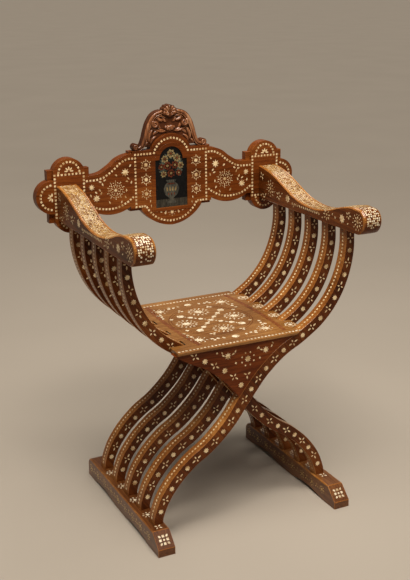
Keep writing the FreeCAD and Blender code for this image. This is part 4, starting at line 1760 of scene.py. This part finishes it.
@dataclass
class BackBoard:
    """The shaped back board with its dotted fields, rosettes and stars."""

    chip: float = 4.9
    pitch: float = 9.2
    arris: float = 1.6
    block_reach: float = 37.5
    block_high: float = 54.0
    block_low: float = 52.0
    lobe_row: float = 27.0
    side_row: float = 31.0
    side_middle: float = 45.0
    centre_reach: float = 100.0
    centre_high: float = 87.0
    centre_low: float = 48.0
    fan_radius: float = 7.0
    wing_top: tuple[tuple[float, float], ...] = (
        (108, 78.5), (122, 78), (140, 70), (160, 54), (184, 38.5), (205, 33), (231, 32.5),
    )
    wing_low: tuple[tuple[float, float], ...] = (
        (108, -21), (122, -31), (144, -41), (168, -45), (198, -42), (216, -35), (231, -25),
    )
    wing_petals: tuple[tuple[float, float, float], ...] = (
        (114, 61, -50), (120, 29, 50), (112, 18, 110), (124, 22, 20),
        (126, -1, 90), (129, -18, 60), (153, 40, 40), (140, -30, 110),
        (172, -28, 60), (190, 20, 70), (196, 27, 10), (198, 6, 60),
        (194, -2, 110), (208, 1, 40), (184, 30, 150), (222, -6, 70),
    )

    def build(self) -> None:
        """Make and dress the board, its panel and the moulding round it."""
        worn_piece("back_board", "back_walnut", "back", self.arris)
        pin_low, pin_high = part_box("back_catch_pin")
        self.block_x = (pin_low.x + pin_high.x) / 2 / MM
        self.block_z = (pin_low.z + pin_high.z) / 2 / MM
        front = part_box("back_board")[0].y
        self.face = Flat(Vector((0, front, 0)), RIGHT, UP)
        inlay = Inlay("back_board", "back_walnut")
        self._arches(inlay)
        for way in (-1, 1):
            self._centre(inlay, way)
            self._wing(inlay, way)
            self._block(inlay, way)
        inlay.finish()

    def _row(self, inlay: Inlay, line: Iterable[tuple[float, float]], way: int = 1) -> None:
        """Set a dotted row; its points are given for the right half, by height over the blocks."""
        turned = [(way * x, self.block_z + z) for x, z in line]
        inlay.row(self.face, turned, self.pitch, square(self.chip))

    def _motif(
        self, inlay: Inlay, way: int, x: float, z: float, motif: Motif, turn: float = 0.0
    ) -> None:
        """Set a motif on one half; its place is given for the right half."""
        lean = turn if way > 0 else 180 - turn
        inlay.set(self.face, way * x, self.block_z + z, motif, lean)

    def _arches(self, inlay: Inlay) -> None:
        """Set the rows of the two arches and the bracketed star below the panel.

        Args:
            inlay: Where the chips go.
        """
        self._row(inlay, arc_line((0, 73.0), 50.0, 163.0, 17.0, 16))
        self._row(inlay, arc_line((0, -13.5), 80.0, 208.5, 331.5, 20))
        self._motif(inlay, 1, 0, -71, [star(8, 6.0, 0.5)] + ring(lozenge(3.6, 1.8), 8, 9.0))
        for way in (-1, 1):
            self._motif(inlay, way, 18, -70, [petal(12.5, 3.0)], 96)
            self._motif(inlay, way, 21, -72, [petal(5.0, 2.4)], 60)
            self._motif(inlay, way, 31, -68.5, [petal(6.0, 2.2)], 14)
            self._motif(inlay, way, 44, -65.5, [petal(6.0, 2.2)], 20)

    def _centre(self, inlay: Inlay, way: int) -> None:
        """Set one side of the centre block.

        Args:
            inlay: Where the chips go.
            way: 1 for the right half, -1 for the left one.
        """
        reach, high, low = self.centre_reach, self.centre_high, -self.centre_low
        self._row(inlay, ((58, high), (reach, high)), way)
        self._row(inlay, ((reach, high - self.pitch), (reach, low)), way)
        self._row(inlay, ((reach - self.pitch, low), (76, low)), way)
        for z in (59, 21, -16):
            self._motif(inlay, way, 71, z, ringed_star())
        self._motif(inlay, way, 60.5, -37, [petal(7.5, 2.6)], 100)
        self._motif(inlay, way, 58, -49, [petal(7.5, 2.6)], 96)

    def _wing(self, inlay: Inlay, way: int) -> None:
        """Set one wing between the centre and the end block.

        Args:
            inlay: Where the chips go.
            way: 1 for the right half, -1 for the left one.
        """
        self._row(inlay, smooth_line(self.wing_top), way)
        self._row(inlay, smooth_line(self.wing_low), way)
        self._motif(inlay, way, 128, 45, [star(8, 11.0, 0.5)])
        self._motif(inlay, way, 155, 2, net_rosette())
        self._motif(inlay, way, 219, 15, [star(8, 8.4, 0.5)])
        self._motif(inlay, way, 207, -14.5, [star(8, 10.0, 0.5)])
        for x, z, turn in self.wing_petals:
            self._motif(inlay, way, x, z, [petal(8.2, 3.6)], turn)

    def _block(self, inlay: Inlay, way: int) -> None:
        """Set one end block with its lobes.

        Args:
            inlay: Where the chips go.
            way: 1 for the right half, -1 for the left one.
        """
        left = self.block_x - self.block_reach
        right = self.block_x + self.block_reach
        high, low = self.block_high, -self.block_low
        self._row(inlay, ((left, high), (left, low)), way)
        self._row(inlay, ((right, high), (right, low)), way)
        self._row(inlay, ((left + self.pitch, high), (right - self.pitch, high)), way)
        self._row(inlay, ((left + self.pitch, low), (right - self.pitch, low)), way)
        upper = (self.block_x, high + 4.0)
        self._row(inlay, arc_line(upper, self.lobe_row, 175, 5), way)
        self._row(inlay, arc_line((self.block_x, low - 4.0), self.lobe_row, 185, 355), way)
        side = (self.block_x + self.side_middle, 0)
        self._row(inlay, arc_line(side, self.side_row, 82, -82), way)
        fans = (
            (self.block_x, high + 8.0, 0), (self.block_x, low - 8.0, 180),
            (self.block_x + self.block_reach + 9.0, 0, -90),
        )
        for middle_x, middle_z, start in fans:
            for step in range(5):
                angle = start + 45 * step
                x = middle_x + self.fan_radius * math.cos(math.radians(angle))
                z = middle_z + self.fan_radius * math.sin(math.radians(angle))
                self._motif(inlay, way, x, z, [petal(10.0, 4.0)], angle)


@dataclass
class PicturePanel:
    """The arched panel: a dark ground with an urn of flowers, in its plain moulding."""

    layer: float = 0.12
    ledge_height: float = 21.0
    ledge_gap: float = 0.2
    urn_half: tuple[tuple[float, float], ...] = (
        (13, 9), (14, 13), (5, 18), (6, 23), (18, 33), (22, 47), (18, 58), (10, 65), (15, 71),
    )
    leaf_count: int = 16
    blossoms: tuple[tuple[float, float, float], ...] = (
        (0, 139, 11.5), (-17, 126, 10.0), (17, 127, 10.5), (-27, 106, 9.0), (27, 107, 9.0),
        (-10, 108, 11.5), (11, 109, 11.0), (-21, 87, 8.5), (22, 88, 8.5), (0, 88, 11.5),
    )
    russet_blossoms: tuple[int, ...] = (3, 5, 6, 8, 9)

    def build(self) -> None:
        """Make and dress the panel and its moulding."""
        dress("picture_panel", "dark_paint")
        worn_piece("panel_fillet", "fillet_walnut", "back", 0.6)
        low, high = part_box("picture_panel")
        middle = Vector(((low.x + high.x) / 2, low.y, low.z))
        self.face = Flat(middle, RIGHT, UP)
        colours = ("stone_paint", "cream_paint", "russet_paint", "sage_paint", "slate_paint")
        work = Inlay("picture_panel", "painted_panel", colours)
        work.proud = self.layer
        half = (high.x - low.x) / MM / 2 - self.ledge_gap
        foot, top = self.ledge_gap, self.ledge_height
        work.set(self.face, 0, 0, [[(-half, foot), (half, foot), (half, top), (-half, top)]])
        work.proud = 2 * self.layer
        self._urn(work)
        self._flowers(work)
        work.finish()

    def _urn(self, work: Inlay) -> None:
        """Paint the urn.

        Args:
            work: Where its layers go.
        """
        outline = [*self.urn_half, *((-x, z) for x, z in reversed(self.urn_half))]
        work.set(self.face, 0, 0, [outline], 0, "slate_paint")
        work.proud = 3 * self.layer
        for x in (-12, -4, 4, 12):
            work.set(self.face, x, 47, [petal(14, 4.6)], 90 - x, "cream_paint")
        for x in (-8, 0, 8):
            work.set(self.face, x, 34, [petal(7, 3.4)], 90, "russet_paint")
        work.set(self.face, 0, 61, [petal(26, 3.6)], 0, "russet_paint")

    def _flowers(self, work: Inlay) -> None:
        """Paint the leaves and the blossoms.

        Args:
            work: Where their layers go.
        """
        work.proud = 2 * self.layer
        for place in range(self.leaf_count):
            angle = -35 + 250 * place / (self.leaf_count - 1)
            x = 24 * math.cos(math.radians(angle))
            z = 104 + 29 * math.sin(math.radians(angle))
            lean = 14 if place % 2 else -14
            work.set(self.face, x, z, [petal(24, 8.5)], angle + lean, "sage_paint")
        for place, (x, z, size) in enumerate(self.blossoms):
            outer, heart = "cream_paint", "russet_paint"
            if place in self.russet_blossoms:
                outer, heart = heart, outer
            work.proud = 3 * self.layer
            petals = ring(petal(size, size * 0.66), 7, size * 0.55)
            work.set(self.face, x, z, petals, 13 * place, outer)
            work.proud = 4 * self.layer
            work.set(self.face, x, z, [star(8, size * 0.34, 0.7)], 0, heart)


def beside(line: Sequence[tuple[float, float]], offset: float) -> Outline:
    """Move a line sideways.

    Args:
        line: Its points.
        offset: How far it moves to its left.

    Returns:
        The moved points.
    """
    moved_points = []
    for place, (x, up) in enumerate(line):
        before = line[max(place - 1, 0)]
        after = line[min(place + 1, len(line) - 1)]
        run, rise = after[0] - before[0], after[1] - before[1]
        length = math.hypot(run, rise)
        moved_points.append((x - rise / length * offset, up + run / length * offset))
    return moved_points


def tapered(line: Sequence[tuple[float, float]], thick: float) -> list[tuple[float, float, float]]:
    """Give a line a thickness that falls off towards both ends.

    Args:
        line: Its points.
        thick: How thick it is in its middle.

    Returns:
        Its points, each with its thickness.
    """
    last = len(line) - 1
    return [
        (x, up, thick * (0.45 + 0.55 * math.sin(math.pi * (0.08 + 0.84 * place / last))))
        for place, (x, up) in enumerate(line)
    ]


def spiral(
    x: float, up: float, radius: float, start: float, turns: float, thick: float
) -> list[tuple[float, float, float]]:
    """Give a volute's line, from its outside to its eye.

    Args:
        x: Its middle, across.
        up: Its middle, up.
        radius: Its reach at the outside.
        start: Where it starts, in degrees.
        turns: How many turns it makes; under 0 runs clockwise.
        thick: How thick it is at the outside.

    Returns:
        The line.
    """
    steps = int(abs(turns) * 14)
    line = []
    for step in range(steps + 1):
        share = step / steps
        angle = math.radians(start) + TURN * turns * share
        reach = radius * (1 - 0.86 * share)
        here = thick * (1 - 0.45 * share)
        line.append((x + reach * math.cos(angle), up + reach * math.sin(angle), here))
    return line


@dataclass
class Crest:
    """The carved crest: C-scrolls, volutes, a shell and leaves.

    Places are given for the right half: across from the middle and up from the crest's foot.
    """

    arris: float = 1.6
    band_depth: float = 2.0
    field_depth: float = 6.0
    leaf_depth: float = 3.0
    shell_reach: float = 19.5
    shell_drop: float = 20.0
    palmette_hub: float = 59.0
    palmette_reach: float = 15.0
    palmette_rib: tuple[tuple[float, float], ...] = (
        (0.1, 1.2), (0.4, 2.4), (0.7, 3.8), (0.9, 4.2), (1.0, 3.0),
    )
    shell_rib: tuple[tuple[float, float], ...] = (
        (0.25, 1.6), (0.5, 2.6), (0.75, 3.8), (0.9, 4.2), (1.0, 3.2),
    )
    band_shift: float = 0.8
    band_thick: float = 4.6
    bead_shift: float = -5.4
    bead_thick: float = 1.5
    vine_thick: float = 3.0
    stem_thick: float = 2.6
    high_volute: tuple[float, ...] = (41.0, 64.0, 9.0, 60.0, -1.6, 3.4)
    low_volute: tuple[float, ...] = (95.0, 9.4, 6.4, 250.0, 1.6, 2.3)
    band: tuple[tuple[float, float], ...] = (
        (19.8, 94.4), (40.6, 87.1), (55.6, 68.3), (64.5, 45.5),
        (71.8, 22.2), (79.6, 9.4), (89.4, 5.0),
    )
    vine: tuple[tuple[float, float], ...] = (
        (6, 47), (18, 43), (30, 45), (42, 50), (50, 58), (52, 68),
    )
    stem: tuple[tuple[float, float], ...] = ((39, 75), (30, 82), (20, 82), (12, 77))
    leaves: tuple[tuple[float, float, float, float, float], ...] = (
        (56, 36, 108, 38, 3.8), (48, 25, 128, 26, 3.2), (40, 42, 150, 20, 3.2),
        (66, 14, 118, 14, 2.4), (27, 73, 25, 21, 4.2), (30, 57, 62, 16, 3.2),
        (15, 72, 60, 15, 3.2), (24, 47, 22, 17, 2.8),
    )

    def build(self) -> None:
        """Make the crest and its carving."""
        # The crest's body takes the darker walnut that paints the shade in the carving's hollows.
        worn_piece("crest", "back_walnut", "crest", self.arris)
        dress("crest_dowels", "dowel")
        low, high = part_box("crest")
        self.middle = (low.x + high.x) / 2 / MM
        self.foot = low.z / MM
        self.top = high.z / MM
        self.front = low.y / MM
        self.rear = high.y / MM
        self.points: list[Vector] = []
        self.faces: list[list[int]] = []
        self._scrolls()
        self._leaves()
        self._shell()
        mesh = closed_mesh("crest_carving", self.points, self.faces)
        for face in mesh.polygons:
            face.use_smooth = True
        # The ridges take the lighter walnut that paints a highlight on their crowns.
        mesh.materials.append(finishes["carving_painted_highlight"])
        set_down("crest_carving", mesh, NODE_BODY["crest"], "back_walnut")

    def _rod(
        self, line: Sequence[tuple[float, float, float]], depth: float, flat: float = 0.8
    ) -> None:
        """Carve a ridge on both halves, in front and behind.

        Args:
            line: Its points: across, up and how thick it is there.
            depth: How deep its line lies behind the crest's face.
            flat: How far it stands out, as a share of its thickness.
        """
        for way in (-1, 1):
            turned = [(way * x, up, thick) for x, up, thick in line]
            for y in (self.front + depth, self.rear - depth):
                self._tube(turned, y, flat)

    def _tube(self, line: Sequence[tuple[float, float, float]], y: float, flat: float) -> None:
        """Add one closed, tapering round along a line.

        Args:
            line: Its points: across, up and how thick it is there.
            y: Where its line lies, from front to back.
            flat: How far it stands out, as a share of its thickness.
        """
        sides = 8
        first = len(self.points)
        for place, (x, up, radius) in enumerate(line):
            before = line[max(place - 1, 0)]
            after = line[min(place + 1, len(line) - 1)]
            run, rise = after[0] - before[0], after[1] - before[1]
            length = math.hypot(run, rise)
            for side in range(sides):
                reach = radius * math.cos(TURN * side / sides)
                deep = radius * flat * math.sin(TURN * side / sides)
                self.points.append(Vector((
                    (self.middle + x - rise / length * reach) * MM,
                    (y + deep) * MM,
                    (self.foot + up + run / length * reach) * MM,
                )))
        for place in range(len(line) - 1):
            for side in range(sides):
                a = first + place * sides + side
                b = first + place * sides + (side + 1) % sides
                self.faces.append([a, b, b + sides, a + sides])
        last = first + (len(line) - 1) * sides
        self.faces.append([first + side for side in range(sides)])
        self.faces.append([last + side for side in range(sides)])

    def _scrolls(self) -> None:
        """Carve the C-scroll's ridges, the vine inside it and the volutes."""
        band = smooth_line(self.band, 4)
        self._rod(tapered(beside(band, self.band_shift), self.band_thick), self.band_depth, 0.6)
        self._rod(tapered(beside(band, self.bead_shift), self.bead_thick), self.band_depth)
        vine = tapered(smooth_line(self.vine, 4), self.vine_thick)
        stem = tapered(smooth_line(self.stem, 4), self.stem_thick)
        self._rod(vine, self.field_depth - 1.0)
        self._rod(stem, self.field_depth - 1.5)
        self._rod(spiral(*self.high_volute), 0.6)
        self._rod(spiral(*self.low_volute), self.band_depth + 0.2)

    def _leaves(self) -> None:
        """Carve the leaf blades and the palmette in the middle."""
        for x, up, lean, length, width in self.leaves:
            line = []
            for step in range(7):
                share = step / 6
                angle = math.radians(lean + 34 * (share - 0.5))
                reach = length * (share - 0.5)
                thick = 0.5 + width * math.sin(math.pi * (0.10 + 0.82 * share))
                line.append((x + reach * math.cos(angle), up + reach * math.sin(angle), thick))
            self._rod(line, self.field_depth, 0.9)
        for lean in (0, 31, 62):
            angle = math.radians(lean - 90)
            line = []
            for share, thick in self.palmette_rib:
                reach = self.palmette_reach * share
                up = self.palmette_hub + reach * math.sin(angle)
                line.append((reach * math.cos(angle), up, thick))
            self._rod(line, self.leaf_depth, 0.7)

    def _shell(self) -> None:
        """Carve the shell's ribs and its hub."""
        hub = self.top - self.foot - self.shell_drop
        for place in range(4):
            angle = math.pi / 2 * (1 - place / 3)
            line = []
            for share, thick in self.shell_rib:
                reach = (self.shell_reach - 1.5) * share
                line.append((reach * math.cos(angle), hub + reach * math.sin(angle), thick))
            self._rod(line, 1.0, 0.6)
        self._rod(spiral(5.5, hub - 3.0, 4.6, 90.0, -1.2, 2.2), 0.4)


@dataclass
class Fittings:
    """The pivot, its rings and cap, the rods, the pins and the pegs."""

    wooden: tuple[str, ...] = (
        "pivot_rod", "pivot_spacers", "pivot_cap", "back_pivot_pin", "back_catch_pin",
        "right_arm_pegs", "left_arm_pegs", "left_rail_pegs", "right_rail_pegs",
    )
    iron: tuple[str, ...] = ("seat_hinge_rod", "seat_rest_rod")

    def build(self) -> None:
        """Dress each fitting."""
        for node in self.wooden:
            dress(node, "dowel")
        for node in self.iron:
            dress(node, "iron")


@dataclass
class Studio:
    """The pale floor, the soft lights and the camera of the photograph."""

    floor_reach: float = 90.0
    camera_place: tuple[float, float, float] = (-1.0618, -2.1167, 1.2912)
    camera_aim: tuple[float, float, float] = (0.4207, 0.8563, -0.2995)
    camera_roll: float = -0.57
    camera_lens: float = 62.594
    sensor: float = 36.0
    warm_white: tuple[float, float, float] = (1.0, 0.95, 0.88)

    def build(self) -> None:
        """Set up the studio."""
        self._floor()
        self._lamp("overhead", (-0.12, -0.42, 2.15), (0.02, 0.0, 0.55), size=0.9, power=27.0)
        self._lamp("rear", (1.0, 1.5, 2.4), (0.0, 0.1, 0.5), size=1.0, power=8.0)
        self._sun("daylight", (-0.18, -0.50, 1.0), spread=34.0, power=2.15)
        self._sky(0.13)
        self._camera()
        bpy.context.scene.view_settings.view_transform = "Standard"

    def _floor(self) -> None:
        """Lay the floor."""
        reach = self.floor_reach
        mesh = bpy.data.meshes.new("pale_floor")
        corners = [(-reach, -reach, 0), (reach, -reach, 0), (reach, reach, 0), (-reach, reach, 0)]
        mesh.from_pydata(corners, [], [[0, 1, 2, 3]])
        mesh.materials.append(finishes["ground"])
        floor = bpy.data.objects.new("pale_floor", mesh)
        bpy.context.scene.collection.objects.link(floor)

    def _lamp(
        self,
        name: str,
        place: tuple[float, float, float],
        aim: tuple[float, float, float],
        size: float,
        power: float,
    ) -> None:
        """Hang one soft lamp.

        Args:
            name: Its name.
            place: Where it hangs, in metres.
            aim: What it looks at.
            size: How wide it is, in metres.
            power: How strong it is, in watts.
        """
        data = bpy.data.lights.new(name, "AREA")
        data.shape = "SQUARE"
        data.size = size
        data.energy = power
        data.color = self.warm_white
        lamp = bpy.data.objects.new(name, data)
        bpy.context.scene.collection.objects.link(lamp)
        lamp.location = place
        lamp.rotation_euler = (Vector(aim) - Vector(place)).to_track_quat("-Z", "Y").to_euler()

    def _sun(
        self, name: str, place: tuple[float, float, float], spread: float, power: float
    ) -> None:
        """Let in broad, even light.

        Args:
            name: Its name.
            place: The way towards it.
            spread: How soft it is, in degrees.
            power: How strong it is.
        """
        data = bpy.data.lights.new(name, "SUN")
        data.angle = math.radians(spread)
        data.energy = power
        data.color = self.warm_white
        sun = bpy.data.objects.new(name, data)
        bpy.context.scene.collection.objects.link(sun)
        sun.rotation_euler = Vector(place).to_track_quat("Z", "Y").to_euler()

    def _sky(self, strength: float) -> None:
        """Give the room its even light.

        Args:
            strength: How strong it is.
        """
        world = bpy.data.worlds.new("studio")
        world.use_nodes = True
        background = world.node_tree.nodes["Background"]
        background.inputs["Color"].default_value = (*self.warm_white, 1.0)
        background.inputs["Strength"].default_value = strength
        bpy.context.scene.world = world

    def _camera(self) -> None:
        """Set the camera where the photograph was taken."""
        data = bpy.data.cameras.new("photograph")
        data.sensor_width = self.sensor
        data.sensor_fit = "AUTO"
        data.lens = self.camera_lens
        data.clip_end = 2 * self.floor_reach
        camera = bpy.data.objects.new("photograph", data)
        bpy.context.scene.collection.objects.link(camera)
        ahead = Vector(self.camera_aim).normalized()
        right = ahead.cross(UP).normalized()
        up = right.cross(ahead)
        roll = math.radians(self.camera_roll)
        x_way = right * math.cos(roll) + up * math.sin(roll)
        y_way = up * math.cos(roll) - right * math.sin(roll)
        turn = Matrix((x_way, y_way, -ahead)).transposed().to_4x4()
        camera.matrix_world = Matrix.Translation(self.camera_place) @ turn
        bpy.context.scene.camera = camera


def main() -> None:
    """Build and dress the chair."""
    logging.basicConfig(level=logging.INFO, format="%(name)s: %(message)s")
    for assembly in (
        Slats(),
        Arms(),
        Rails(),
        Seat(),
        Apron(),
        BackBoard(),
        PicturePanel(),
        Crest(),
        Fittings(),
        Studio(),
    ):
        assembly.build()


if __name__ == "__main__":
    main()
